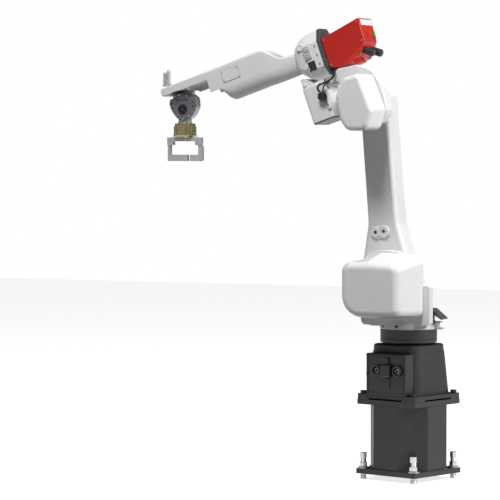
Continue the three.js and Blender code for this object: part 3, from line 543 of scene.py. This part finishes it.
def make_connector_panel():
    low, high = FLANGE_TOP + PLATE_THICK + 1.5, 555
    panel = prism("xz", rectangle(-126, low, 102, high, 6), [(125.5, 0), (177, 0), (180, 1), (181, 3)])
    holes = [moved(disc(21, 150, 200), ALONG_Y, shift(x, 0, 480)) for x in (-84, 36)]
    frame_groove = cut(prism("xz", rectangle(-116, low + 10, 92, high - 10, 5), [(179.4, 0), (190, 0)]),
                       prism("xz", rectangle(-112, low + 14, 88, high - 14, 4), [(170, 0), (195, 0)]))
    block = prism("xz", rectangle(-50, 452, 4, 508, 5), levels(178, 206, 0, 5))
    shape("connector_panel", join(cut(panel, *holes, frame_groove), block), PEDESTAL, 0.8)
    for index, x in enumerate((-84, 36)):
        profile = [(0, 150), (20.5, 150), (20.5, 184), (24, 185), (24, 197), (22.5, 198), (17, 198), (16, 196),
                   (16, 176), (0, 176)]
        shape(f"cable_socket_{index + 1}", moved(turned(profile), ALONG_Y, shift(x, 0, 480)), PEDESTAL, 0.4)
        pins = [moved(disc(2, 174, 190, 12), ALONG_Y, shift(x + a, 0, 480 + b))
                for a, b, _ in circle_corners(0, 0, 9, 6)]
        detail(f"socket_pins_{index + 1}", together(*pins), PEDESTAL, "pedestal", "steel", 0.3)
    screws = [panel_screw(x, z) for x in (-118, 94) for z in (low + 7, 462, high - 7)]
    detail("panel_screws", together(*screws), PEDESTAL, "pedestal", "black_steel", 0.4)
    # The lower black pad, under the connector block, is painted shadow of that block; the upper pad is a latch.
    latch_and_shadow_pad = join(prism("xz", rectangle(-32, 512, -14, 538, 3), levels(178, 190, 0, 3)),
                 prism("xz", rectangle(-36, 400, -10, 446, 4), levels(178, 186, 0, 3)))
    detail("panel_latch_and_painted_shadow", latch_and_shadow_pad, PEDESTAL, "pedestal", "black_plastic", 0.6)


def panel_screw(x, z):
    head = cut(disc(5.5, 180, 184.5, 24), hexagon(5, 182, 190))
    return moved(head, ALONG_Y, shift(x, 0, z))


# ---------------------------------------------------------------- turntable

def make_collar():
    low = NECK_TOP + 2 * GAP
    profile = [(40, low + 11), (101, low + 11), (101, low), (COLLAR_R - 5, low), (COLLAR_R - 1, low + 1.5),
               (COLLAR_R, low + 5), (COLLAR_R, 615), (COLLAR_R - 1.2, 616), (COLLAR_R - 1.2, 618),
               (COLLAR_R, 619), (COLLAR_R, COLLAR_TOP - 2), (COLLAR_R - 2, COLLAR_TOP), (40, COLLAR_TOP),
               (40, low + 11)]
    shape("rotation_collar", turned(profile, 128), ROW, 0)


def make_turntable():
    low = COLLAR_TOP + GAP
    skirt = turned([(0, low), (129, low), (131, low + 3), (131, low + 22), (129, low + 29), (124, low + 36),
                    (116, low + 42), (0, low + 42)], 128)
    shelf = skin("xy", [(low + 16, outline(rectangle(-90, -80, 158, SIDE_OUT - 6, 30))),
                        (low + 20, outline(rectangle(-94, -82, 165, SIDE_OUT - 3, 30))),
                        (low + 30, outline(rectangle(-100, -86, 180, SIDE_OUT, 30))),
                        (low + 42, outline(rectangle(-104, -86, 192, SIDE_OUT, 30)))])
    upright = prism("xz", [(-118, low + 20, 10), (186, low + 20, 20), (214, 820, 60), (214, 924, 90),
                           (150, 1016, 60), (80, 1022, 120), (5, 1016, 70), (-60, 960, 90), (-118, 860, 40)],
                    levels(SIDE, SIDE_OUT, 4, 3, 4))
    duct = prism("xz", rectangle(-141, low + 24, -100, 864, 12), [(SIDE, 0), (SIDE_OUT, 0)])
    seat = moved(disc(92, SIDE - 5, SIDE_OUT - 16), ALONG_Y, shift(SHOULDER_X, 0, SHOULDER_Z))
    shape("turntable", cut(join(skirt, shelf, upright, duct), seat), ROW, 1.4)
    screws = [moved(cut(disc(6.5, 0, 6, 32), hexagon(6, 3, 9)), ALONG_Y, shift(x, y, low + 16))
              for x, y in ((10, 130), (86, 98.6))]
    detail("turntable_screws", together(*screws), ROW, "turntable", "black_steel", 0.5)
    ring = [moved(cut(disc(7, 0, 7, 32), hexagon(7, 3, 10)), shift(x, y, low + 42))
            for x, y, _ in circle_corners(0, 0, 96, 12, 0.2) if y < -70]
    detail("skirt_screws", together(*ring), ROW, "turntable", "steel", 0.5)


J2_COVER_BACK = [(-112, 719, 34), (222, 719, 104), (222, 976, 44), (140, 984, 30), (92, 1011, 50), (-112, 1004, 46)]
J2_COVER_FRONT = [(-62, 727, 40), (214, 727, 96), (214, 972, 44), (140, 972, 30), (92, 974, 50), (-62, 968, 44)]
J3_COVER = [(-72, -75, 34), (-12, -150, 44), (78, -117, 40), (93, -62, 34), (79, 46, 40), (19, 114, 30),
            (-65, 107, 26)]


def between(a, b, t):
    return [tuple(p + (q - p) * t for p, q in zip(one, two)) for one, two in zip(a, b)]


def cover_shell(back, front, y0, y1, edge):
    """Moulded cover running from its back outline to its front one, then rounded over."""
    sections = []
    for w, inset in levels(y0, y1, 0, edge, 10):
        corners = between(back, front, (w - y0) / (y1 - y0))
        sections.append((w, outline(corners, inset, 14)))
    inside = [(w, outline(between(back, front, max((w - y0) / (y1 - y0), 0)), 5, 14))
              for w in (y0 - 10, y0 + 40)]
    return cut(skin("xz", sections), skin("xz", inside))


def make_shoulder_cover():
    cover = cover_shell(J2_COVER_BACK, J2_COVER_FRONT, SIDE_OUT + GAP, J2_COVER_OUT, 34)
    shape("j2_cover", cover, ROW, 0.8)


def make_turntable_trim():
    refined("cable_bracket", 0.8)
    refined("stop_block", 0.8)


# ---------------------------------------------------------------- lower arm

ARM_OUTLINE = [
    (-92, -94, 70), (92, -94, 70), (112, 150, 70), (75, 310, 220), (75, ARM_LENGTH + 72, 71),
    (-67, ARM_LENGTH + 72, 66), (-67, 520, 300), (-72, 300, 150), (-112, 130, 70)]


def make_lower_arm():
    body = prism("xz", ARM_OUTLINE, levels(-ARM_HALF, ARM_HALF, 6, 22, 8), 12)
    window = prism("xz", rectangle(-36, 150, 36, ARM_LENGTH - 140, 20), [(-ARM_HALF - 5, 0), (-ARM_HALF + 30, 0)])
    shape("lower_arm_casting", cut(body, window), ARM, 1.0)
    cover = prism("xz", rectangle(-46, 128, 46, ARM_LENGTH - 116, 24), levels(-ARM_HALF - GAP, -ARM_HALF - 9, 0, 4))
    shape("lower_arm_cover", cover, ARM, 0.4)
    screws = [moved(disc(4, 0, 2, 20), ALONG_Y, shift(x, -ARM_HALF - 11, z))
              for x in (-36, 36) for z in (140, 330, 560, ARM_LENGTH - 128)]
    detail("arm_cover_screws", together(*screws), ARM, "lower_arm", "steel", 0.4)
    for node, r, z in (("shoulder_cap", 88, 0), ("elbow_cap", 58, ARM_LENGTH)):
        cap = turned([(0, -12), (r - 10, -12), (r - 5, -11), (r - 1.5, -8), (r, -4), (r, 0), (0, 0)], 96)
        shape(node, moved(cap, ALONG_Y, shift(0, -ARM_HALF - GAP, z)), ARM, 0)


def make_port_plate():
    y0 = ARM_HALF + GAP
    plate = prism("xz", [(-24, 242, 24), (60, 240, 24), (60, 298, 24), (-24, 298, 24)], levels(y0, y0 + 7, 0, 3))
    ports = []
    for x, z, r in ((35, 270, 25), (-5, 272, 27)):
        profile = [(8.5, 3), (8.5, 8), (10, 9), (r - 5, 9), (r - 2, 8), (r, 5), (r, 3), (8.5, 3)]
        ports.append(moved(turned(profile), ALONG_Y, shift(x, y0 + 4, z)))
    shape("port_plate", join(plate, *ports), ARM, 0.5)
    plugs = [moved(turned([(0, 0), (8.4, 0), (8.4, 4), (6, 5), (0, 5)], 32), ALONG_Y, shift(x, y0 + 6, z))
             for x, z in ((35, 270), (-5, 272))]
    detail("port_plugs", together(*plugs), ARM, "lower_arm", "dark_grey", 0.3)


# ---------------------------------------------------------------- elbow

def make_elbow_casting():
    corners = [(-72, -84, 40), (-10, -122, 50), (70, -96, 50), (110, 10, 50), (106, 100, 40), (106, 173, 5),
               (92, 184, 6), (-2, 170, 20), (-62, 128, 34), (-90, 40, 60)]
    plate = prism("xz", corners, levels(SIDE, ELBOW_OUT, 4, 6, 5))
    saddle = prism("xz", rectangle(66, 136, 184, 173, 5), [(-72, 0), (14, 0)])
    web = box(70, 104, 10, SIDE + 10, 138, 173)
    seat = moved(disc(80, SIDE - 5, SIDE_OUT - 14), ALONG_Y)
    shape("elbow_casting", cut(join(plate, saddle, web), seat), ELBOW, 1.2)
    gasket = cut(prism("xz", J3_COVER, [(ELBOW_OUT, 9), (ELBOW_OUT + 7, 9)]),
                 prism("xz", J3_COVER, [(100, 16), (180, 16)]))
    detail("j3_gasket", gasket, ELBOW, "elbow", "black_rubber")


def make_elbow_cover():
    shape("j3_cover", cover_shell(J3_COVER, J3_COVER, ELBOW_OUT + 7, J3_COVER_OUT, 24), ELBOW, 0.8)


def roll_octagon(half, up, down, cut_y, cut_v):
    top, base = ROLL_V + up, ROLL_V - down
    return [(half, base + cut_v, 7), (half, top - cut_v, 7), (half - cut_y, top, 7), (cut_y - half, top, 7),
            (-half, top - cut_v, 7), (-half, base + cut_v, 7), (cut_y - half, base, 7), (half - cut_y, base, 7)]


def octagon_at(w, *sizes):
    return w, outline(roll_octagon(*sizes), 0, 6)


def make_roll_housing():
    body = skin("yz", [octagon_at(HOUSING_BACK, 90, 113, 113, 46, 55), octagon_at(226, 90, 111, 113, 44, 52),
                       octagon_at(262, 84, 98, 92, 38, 42), octagon_at(290, 74, 76, 62, 30, 30),
                       octagon_at(HOUSING_FRONT, 68, 68, 54, 26, 26)])
    recess = box(206, 244, 70, 100, 224, 268, 3)
    throat = moved(disc(46, HOUSING_FRONT - 30, HOUSING_FRONT + 5), ALONG_X, shift(0, 0, ROLL_V))
    shape("roll_housing", cut(body, recess, throat), ELBOW, 1.6)
    plate = skin("yz", [octagon_at(HOUSING_BACK - 18, 88, 113, 113, 46, 55),
                        octagon_at(HOUSING_BACK - 15, 91, 116, 116, 46, 55),
                        octagon_at(HOUSING_BACK - GAP, 91, 116, 116, 46, 55)])
    shape("roll_rear_plate", cut(plate, box(100, 200, -100, 100, 120, 173.8)), ELBOW, 0.8)
    make_housing_details()


def make_housing_details():
    refined("connector_plate", 0.5)
    rings = [moved(turned([(0, 0), (r, 0), (r, 4), (r - 1.5, 5.5), (r - 4, 5.5), (r - 5, 4), (0, 4)], 40), ALONG_Y,
                   shift(u, 96.6, v)) for u, v, r in ((229, 326, 9), (229, 298, 9))]
    detail("housing_sockets", together(*rings), ELBOW, "elbow", "light_grey", 0.3)
    plug = moved(turned([(0, 0), (17, 0), (17, 5), (15, 7), (11, 7), (10, 5), (0, 5)]), ALONG_Y, shift(256, 84, 346))
    detail("housing_plug", plug, ELBOW, "elbow", "white_casting", 0.3)
    fins = [box(208, 242, 71, 88, v, v + 3) for v in range(229, 265, 7)]
    detail("recess_fins", together(*fins), ELBOW, "elbow", "dark_grey", 0.4)
    screws = [moved(cut(disc(4.6, 0, 4, 24), hexagon(4, 2, 6)), ALONG_Y, shift(u, 89.6, v))
              for u, v in ((184, 330), (184, 246), (184, 288), (250, 240))]
    detail("housing_screws", together(*screws), ELBOW, "elbow", "steel", 0.3)


def make_roll_motor():
    corners = rectangle(195.5, -90, 309, 90, 14)
    main = prism("xy", corners, [(-4, 0), (156, 0), (160, 1.2), (163, 4)])
    step = prism("xz", [(198, 160, 0), (305, 160, 4), (305, 206, 8), (296, 210, 3), (266, 186, 3),
                        (262, 173.4, 0), (198, 173.4, 3)], [(-80, 0), (80, 0)])
    hollow = box(204, 300, -81, 81, -20, 150, 8)
    shape("j4_motor_case", cut(join(main, step), hollow), ELBOW, 1.4)
    shape("j4_case_cover", prism("xy", corners, [(-11, 5), (-9.5, 2), (-8, 1), (-4 - GAP, 1)]), ELBOW, 0.5)
    knob = moved(turned([(0, 0), (9, 0), (9, 4), (7, 6), (0, 6)], 40), ALONG_Y, shift(292, 80, 176))
    detail("case_knob", knob, ELBOW, "elbow", "white_casting", 0.3)
    dome = turned([(0, 128), (20, 128), (29, 129.5), (36, 133), (41, 140), (43, 149), (43, 168), (46, 169),
                   (46, 173.4), (0, 173.4)])
    shape("conduit_dome", moved(dome, shift(151, 64, 0)), ELBOW, 0)


LABEL_STAND = 0.9  # label's faces either side of the box's rear face
BOX_SIDE = [(1, 204, 5), (99, 192, 4), (149, 214, 3), (149, 350, 3), (-57, 380, 5), (-50, 268, 4)]


def rear_u(v):
    """Where the box's rear face stands at a height."""
    return -50 - (v - 268) * 7 / 112


def make_control_box():
    shell = prism("xz", BOX_SIDE, levels(-BOX_HALF, BOX_HALF, 4, 4, 5), 6)
    seat = box(-70, -46, -73, -51, 287, 321)
    slit = box(-70, rear_u(302) + 6, 16, 24, 290, 314)
    foot = prism("xz", [(-8, 182, 2), (36, 179.5, 2), (30, 206, 3), (-2, 208, 3)], [(22, 0), (78, 0)], 4)
    shape("control_box", cut(join(shell, foot), seat, slit), ELBOW, 0.7)
    label_corners = ((-70, 345), (64, 345), (64, 371), (-70, 371))
    label = [(rear_u(v) - LABEL_STAND * side, y, v) for side in (1, -1) for y, v in label_corners]
    faces = [(0, 1, 2, 3), (7, 6, 5, 4), (0, 4, 5, 1), (1, 5, 6, 2), (2, 6, 7, 3), (3, 7, 4, 0)]
    detail("blank_label", mesh_of([Vector(p) for p in label], faces), ELBOW, "elbow", "white_cover", 0.2,
           MATERIALS["label"])
    lid = [moved(disc(3.4, 0, 2, 20), ALONG_Y, shift(u, BOX_HALF - 0.8, v))
           for u, v in ((-42, 364), (-38, 276), (136, 340), (136, 222), (6, 214))]
    detail("box_screws", together(*lid), ELBOW, "elbow", "steel", 0.3)
    collar = moved(cut(prism("yz", rectangle(-75, 285, -49, 323, 2), [(0, 0), (1.4, 0.6)], 3),
                       prism("yz", rectangle(-72, 288, -52, 320, 1), [(-3, 0), (4, 0)], 3)),
                   Matrix.Scale(-1, 4, (1, 0, 0)), shift(rear_u(304) + 0.4, 0, 0))
    detail("switch_frame", collar, ELBOW, "elbow", "black_plastic", 0.2)
    refined("power_switch", 0.6)


def make_signal_connectors():
    slope = math.atan2(268 - 204, -51)
    ribs = [(18.4 if k % 2 else 17.2, 12 + 2.4 * k) for k in range(12)]
    profile = [(0, 0.5), (15, 0.5), (15, 8), (18, 9), *ribs, (17.4, 44), (15, 50), (12, 52), (0, 52)]
    for index, y in enumerate((46, -54)):
        plug = moved(turned(profile), ALONG_X, Matrix.Rotation(-(slope + math.pi / 2), 4, "Y"), shift(-25, y, 236))
        shape(f"signal_connector_{index + 1}", plug, ELBOW, 0.2)


LEAD_ROUTE = [(122, 72, 196), (122, 88, 192), (122, 106, 184), (125, 119, 172), (136, 123, 158), (162, 123, 151),
              (190, 120, 150), (212, 116, 149), (225, 111, 138), (223, 107, 120)]


def tube(route, radius):
    """Smooth round tube through the points of a route."""
    curve = bpy.data.curves.new("tube", "CURVE")
    curve.dimensions = "3D"
    curve.bevel_depth = radius
    curve.bevel_resolution = 6
    curve.resolution_u = 10
    curve.use_fill_caps = True
    line = curve.splines.new("BEZIER")
    line.bezier_points.add(len(route) - 1)
    for point, place in zip(line.bezier_points, route):
        point.co = place
        point.handle_left_type = point.handle_right_type = "AUTO"
    held = bpy.data.objects.new("tube", curve)
    bpy.context.scene.collection.objects.link(held)
    bpy.context.view_layer.update()
    mesh = bpy.data.meshes.new_from_object(held.evaluated_get(bpy.context.evaluated_depsgraph_get()))
    bpy.data.objects.remove(held)
    return mesh


def make_lead():
    shape("motor_lead", tube(LEAD_ROUTE, 5), ELBOW, 0)
    grip = [(21 if k % 2 else 19.8, 8 + 1.9 * k) for k in range(8)]
    plug = turned([(0, 0), (15, 0), (15, 6), (19, 7), *grip, (20, 24), (17, 27), (9, 27), (8, 25), (0, 25)])
    shape("motor_plug", moved(plug, ALONG_Y, shift(218, 90 + GAP, 96)), ELBOW, 0.2)
    strand = [(134, 70, 190), (131, 84, 178), (140, 98, 160), (168, 104, 148), (192, 104, 142), (202, 106, 128),
              (208, 107, 112)]
    detail("second_strand", tube(strand, 3.4), ELBOW, "elbow", "black_rubber")
    rod = tube([(214, 108, 76), (208, 104, 60), (205, 98, 46)], 2.4)
    detail("plug_tether", rod, ELBOW, "elbow", "black_rubber")
    bolt = moved(turned([(0, 0), (9, 0), (9, 7), (7, 9), (0, 9)], 6), ALONG_Y, shift(204, 90, 40))
    detail("tether_bolt", bolt, ELBOW, "elbow", "white_casting", 0.6)


# ---------------------------------------------------------------- forearm

def belly_section(w, top, bottom, half):
    """Section across the roll axis: flat sides above, a round belly below."""
    belly = min(ROLL_V + 20, top - 12)
    crown = [(half - 12 * (1 - math.cos(a)), top - 12 * (1 - math.sin(a))) for a in
             [math.pi / 2 * k / 6 for k in range(7)]]
    left = [(-y, v) for y, v in crown[::-1]]
    lower = [math.pi + math.pi * k / 24 for k in range(25)]
    return w, crown + left + [(half * math.cos(a), belly + (belly - bottom) * math.sin(a)) for a in lower]


def make_forearm_casing():
    stations = [(303, 336, 241, 47), (316, 336, 241, 48), (352, 339, 240, 49.5), (388, 350, 240, 52),
                (412, 372, 240, 55), (434, 396, 240, 58), (452, 406, 241, 59.3), (468, 410, 242, 60),
                (500, 411, 242, 60), (660, 410, 242, 60), (672, 410, 246, 60), (684, 410, 256, 60),
                (724, 410, 340, 60), (757, 409, 345, 60)]
    outer = skin("yz", [belly_section(*station) for station in stations])
    inner = skin("yz", [belly_section(*station) for station in
                        [(474, 402, 250, 53), (656, 401, 250, 53), (674, 401, 264, 53), (716, 401, 348, 53),
                         (752, 400, 352, 53)]])
    front = stations[-1][0]
    shaft = moved(disc(36.5, 190, 306), ALONG_X, shift(0, 0, ROLL_V))
    roof = prism("xz", [(front - 6, 345, 0), (852, 347, 4), (872, 368, 10), (962, 368, 12), (1002, 372, 14),
                        (1000, 411, 16), (front - 6, 409.5, 0)], levels(-FOREARM_HALF, FOREARM_HALF, 8, 8))
    sweep = moved(disc(WRIST_ARC + 4, FAR_ARM_IN, 80, 96), ALONG_Y, shift(WRIST_U, 0, ROLL_V))
    under = box(front, 860, -46, 80, 320, 372)
    stem = prism("xz", [(WRIST_U - 60, 368, 4), (WRIST_U - 32, 330, 20), (WRIST_U - 32, ROLL_V - 31, 30),
                        (WRIST_U + 32, ROLL_V - 31, 30), (WRIST_U + 32, 330, 20), (WRIST_U + 55, 368, 4),
                        (WRIST_U + 55, 407, 4), (WRIST_U - 60, 407, 4)],
                 [(-FOREARM_HALF, 3), (-FOREARM_HALF + 3, 0), (FAR_ARM_IN, 0)])
    well = skin("xz", [(w, belt_loop(4.5)) for w in (-FOREARM_HALF - 5, BELT_IN)])
    axle = moved(disc(17.5, -FOREARM_HALF, 0), ALONG_Y, shift(WRIST_U, 0, ROLL_V))
    bay = box(WRIST_U - 22, WRIST_U + 22, -33, 37, 370.5, 406.5)
    shaft_hole = moved(disc(10, -FOREARM_HALF, -30), ALONG_Y, shift(WRIST_U, 0, DRIVE_V))
    body = cut(join(outer, shaft, roof), sweep, under)
    shape("forearm_casing", cut(join(body, stem), inner, axle, well, bay, shaft_hole), ELBOW, 1.4)
    refined("access_panel", 0.4)
    groove = cut(prism("xz", rectangle(588.6, 326.6, 680.4, 384.4, 8), [(59.6, 0), (60.5, 0)]),
                 prism("xz", rectangle(591, 329, 678, 382, 6), [(50, 0), (70, 0)]))
    detail("panel_seam", groove, ELBOW, "forearm", "dark_grey")
    screws = [moved(disc(2.6, 0, 1, 16), ALONG_Y, shift(u, 62.6, v)) for u in (597, 672) for v in (335, 376)]
    detail("panel_screws_forearm", together(*screws), ELBOW, "forearm", "steel")


def belt_loop(extra):
    """Loop round the two pulleys of the wrist drive, a given distance outside them."""
    lean = math.asin((DRIVEN_R - DRIVE_R) / (DRIVE_V - ROLL_V))
    points = []
    for v, r, start, end in ((ROLL_V, DRIVEN_R, math.pi - lean, math.tau + lean),
                             (DRIVE_V, DRIVE_R, lean, math.pi - lean)):
        for k in range(25):
            a = start + (end - start) * k / 24
            points.append((WRIST_U + (r + extra) * math.cos(a), v + (r + extra) * math.sin(a)))
    return points


def make_belt_cover():
    cover = skin("xz", [(w, belt_loop(8 - inset)) for w, inset in levels(-FOREARM_HALF - GAP, -64, 0, 2)])
    shape("belt_cover", cover, ELBOW, 0.3)


def make_air_fitting():
    tip = ELBOW @ shift(980, 0, 415) @ Matrix.Rotation(-math.acos(REACH.x), 4, "Y")
    base = together(box(-14, 26, -12, 12, 3, 14, 3), box(-10, 4, -9, 9, 12, 26, 3))
    ribs = [(9 if k % 2 else 8.2, 6 + 3.2 * k) for k in range(13)]
    silencer = [(0, -2), (6, -2), (7, 3), (9, 4), *ribs, (9, 48), (6.5, 55), (4, 56), (0, 56)]
    stems = [moved(turned(silencer, 36), shift(x, 0, z)) for x, z in ((17, 14), (-3, 26))]
    shape("air_fitting", together(base, *stems), tip, 0.5)


# ---------------------------------------------------------------- wrist and tool

WRIST_FACE = [(-64, 53, 10), (-69, 12, 30), (-49, -30, 40), (-8, -58, 50), (29, -48, 40), (57, -14, 40),
              (72, 20, 16), (70, 44, 8), (8, 78, 60), (-40, 72, 16)]
WRIST_SLOTS = ((-52, 34), (-54, 14), (54, 26), (52, 6))


def make_wrist():
    y = WRIST_FRONT
    body = prism("xz", WRIST_FACE, [(WRIST_BACK, 3), (WRIST_BACK + 1, 1), (WRIST_BACK + 3, 0), (y - 2, 0), (y, 1)], 14)
    neck = cut(disc(31, -60, -30, 96), box(-40, 40, y, 50, -70, 0))
    axle = moved(disc(16, BELT_IN + 1, WRIST_BACK + 2), ALONG_Y)
    shape("wrist_body", join(body, neck, axle), WRIST, 0.8)
    plate = prism("xz", WRIST_FACE, [(y + GAP, 3), (y + 8, 3), (y + 11, 4.5), (y + 12, 7)], 14)
    recess = prism("xz", [(-34, 16, 4), (38, 16, 4), (34, 46, 6), (-30, 52, 6)], [(y + 6, 0), (y + 20, 0)])
    seat = moved(disc(24, y + 4, y + 20), ALONG_Y)
    slots = [box(x - 6, x + 6, y + 7, y + 20, z - 2.5, z + 2.5) for x, z in WRIST_SLOTS]
    shape("wrist_cover", cut(plate, recess, seat, *slots), WRIST, 0.6)
    profile = [(0, 4.3), (22, 4.3), (22, 15), (21, 16), (18, 16), (17, 15), (17, 10), (10, 10), (10, 16), (9, 17),
               (0, 17)]
    shape("hub_ring", moved(turned(profile), ALONG_Y, shift(0, y, 0)), WRIST, 0.2)
    screws = [moved(cut(disc(4.2, 0, 4.5, 24), hexagon(4, 2, 7)), ALONG_Y, shift(x, y + 11.6, z))
              for x, z in ((-34, -30), (30, -34), (-4, -44), (-24, 62), (16, 66))]
    detail("wrist_screws", together(*screws), WRIST, "wrist", "steel", 0.3)
    vents = [box(x - 5.5, x + 5.5, y + 7.4, y + 8, z - 2.2, z + 2.2) for x, z in WRIST_SLOTS]
    detail("wrist_vents", together(*vents), WRIST, "wrist", "black_rubber")


def make_tool():
    refined("tool_flange", 0.6)
    refined("gripper_body", 0.8)
    boss = [moved(turned([(0, 0), (13, 0), (13, 2), (11, 3), (6, 3), (5, 1.5), (0, 1.5)], 48), ALONG_Y,
                  shift(0, 38, -98))]
    screws = [moved(cut(disc(4.5, 0, 2.6, 24), hexagon(4, 1, 5)), ALONG_Y, shift(x, 38, z))
              for x in (-28, 28) for z in (-86, -112)]
    detail("gripper_front", together(*boss, *screws), WRIST, "tool", "gripper_olive", 0.3)
    ports = [moved(disc(3.2, 0, 1, 20), ALONG_Y, shift(x, 38, z)) for x, z in ((-26, -99), (26, -99))]
    detail("gripper_ports", together(*ports), WRIST, "tool", "black_rubber", 0.2)
    for node in ("finger_1", "finger_2"):
        refined(node, 1.0)
    for side in (1, -1):
        pin = moved(disc(3.4, 0, 1.4, 20), ALONG_Y, shift(side * 72, 15.8, -150))
        detail(f"finger_screw_{1 if side > 0 else 2}", pin, WRIST, "finger_1" if side > 0 else "finger_2", "steel",
               0.3)


# ---------------------------------------------------------------- what the covers hide

HIDDEN = ("j1_motor", "j2_motor", "j3_motor", "j4_motor", "j5_motor", "j6_motor", "j1_reducer", "j2_reducer",
          "j3_reducer", "j4_reducer", "j6_reducer", "j5_drive_pulley", "j5_driven_pulley", "j5_belt")


def dress_hidden_nodes():
    for node in HIDDEN:
        data = frame["nodes"][node].data
        data.materials.clear()
        data.materials.append(MATERIALS[NODE_SLOT[node]])


# ---------------------------------------------------------------- studio

FLOOR_Z = cad_box[0][2]
FLOOR_HALF = 14.0
FLOOR_GLOW = 0.75  # keeps the floor as pale as the backdrop


def make_floor():
    bm = bmesh.new()
    corners = [(x * FLOOR_HALF, y * FLOOR_HALF) for x, y in ((-1, -1), (1, -1), (1, 1), (-1, 1))]
    bm.faces.new([bm.verts.new((x, y, FLOOR_Z)) for x, y in corners])
    mesh = bpy.data.meshes.new("floor")
    bm.to_mesh(mesh)
    bm.free()
    material = surface("floor_white", (0.86, 0.86, 0.86), 0.01, (0.5, 0.6), grain=60, bump=0.01)
    shader = next(node for node in material.node_tree.nodes if node.type == "BSDF_PRINCIPLED")
    shader.inputs["Emission Color"].default_value = (1, 1, 1, 1)
    shader.inputs["Emission Strength"].default_value = FLOOR_GLOW
    mesh.materials.append(material)
    floor = bpy.data.objects.new("floor", mesh)
    bpy.context.scene.collection.objects.link(floor)
    floor.visible_diffuse = False


def area_light(name, place, target, size, power):
    light = bpy.data.lights.new(name, "AREA")
    light.shape = "SQUARE"
    light.size = size
    light.energy = power
    lamp = bpy.data.objects.new(name, light)
    lamp.location = place
    lamp.rotation_euler = (Vector(target) - Vector(place)).to_track_quat("-Z", "Y").to_euler()
    bpy.context.scene.collection.objects.link(lamp)


AMBIENT = 0.16  # strength of the even light from all round
BACKDROP = 1.0  # strength of the white behind the object


def make_lights():
    world = bpy.data.worlds.new("studio")
    world.use_nodes = True
    tree = world.node_tree
    sky = tree.nodes["Background"]
    sky.inputs["Color"].default_value = (1, 1, 1, 1)
    path = tree.nodes.new("ShaderNodeLightPath")
    mix = tree.nodes.new("ShaderNodeMapRange")
    mix.inputs["To Min"].default_value = AMBIENT
    mix.inputs["To Max"].default_value = BACKDROP
    tree.links.new(path.outputs["Is Camera Ray"], mix.inputs["Value"])
    tree.links.new(mix.outputs["Result"], sky.inputs["Strength"])
    bpy.context.scene.world = world
    bpy.context.scene.view_settings.view_transform = "Standard"
    middle = (0.3, 0, 1.1)
    area_light("key", (-5.6, -0.6, 4.4), middle, 2.0, 420)
    area_light("top", (0.1, 3.2, 6.2), middle, 1.6, 270)


def make_camera():
    camera = bpy.data.cameras.new("camera")
    camera.sensor_width = 36
    camera.lens = 216
    camera.clip_end = 60
    holder = bpy.data.objects.new("camera", camera)
    holder.location = (-4.781, 12.812, 1.644)
    look = Vector((0.3983, -0.9161, -0.0457))
    holder.rotation_euler = look.to_track_quat("-Z", "Y").to_euler()
    bpy.context.scene.collection.objects.link(holder)
    bpy.context.scene.camera = holder


def main():
    make_camera()
    make_lights()
    make_floor()
    for make in (make_pedestal, make_base_casting, make_connector_panel, make_collar, make_turntable,
                 make_shoulder_cover, make_turntable_trim, make_lower_arm, make_port_plate, make_elbow_casting,
                 make_elbow_cover, make_roll_housing, make_roll_motor, make_control_box, make_signal_connectors,
                 make_lead, make_forearm_casing, make_belt_cover, make_air_fitting, make_wrist, make_tool,
                 dress_hidden_nodes):
        make()


main()
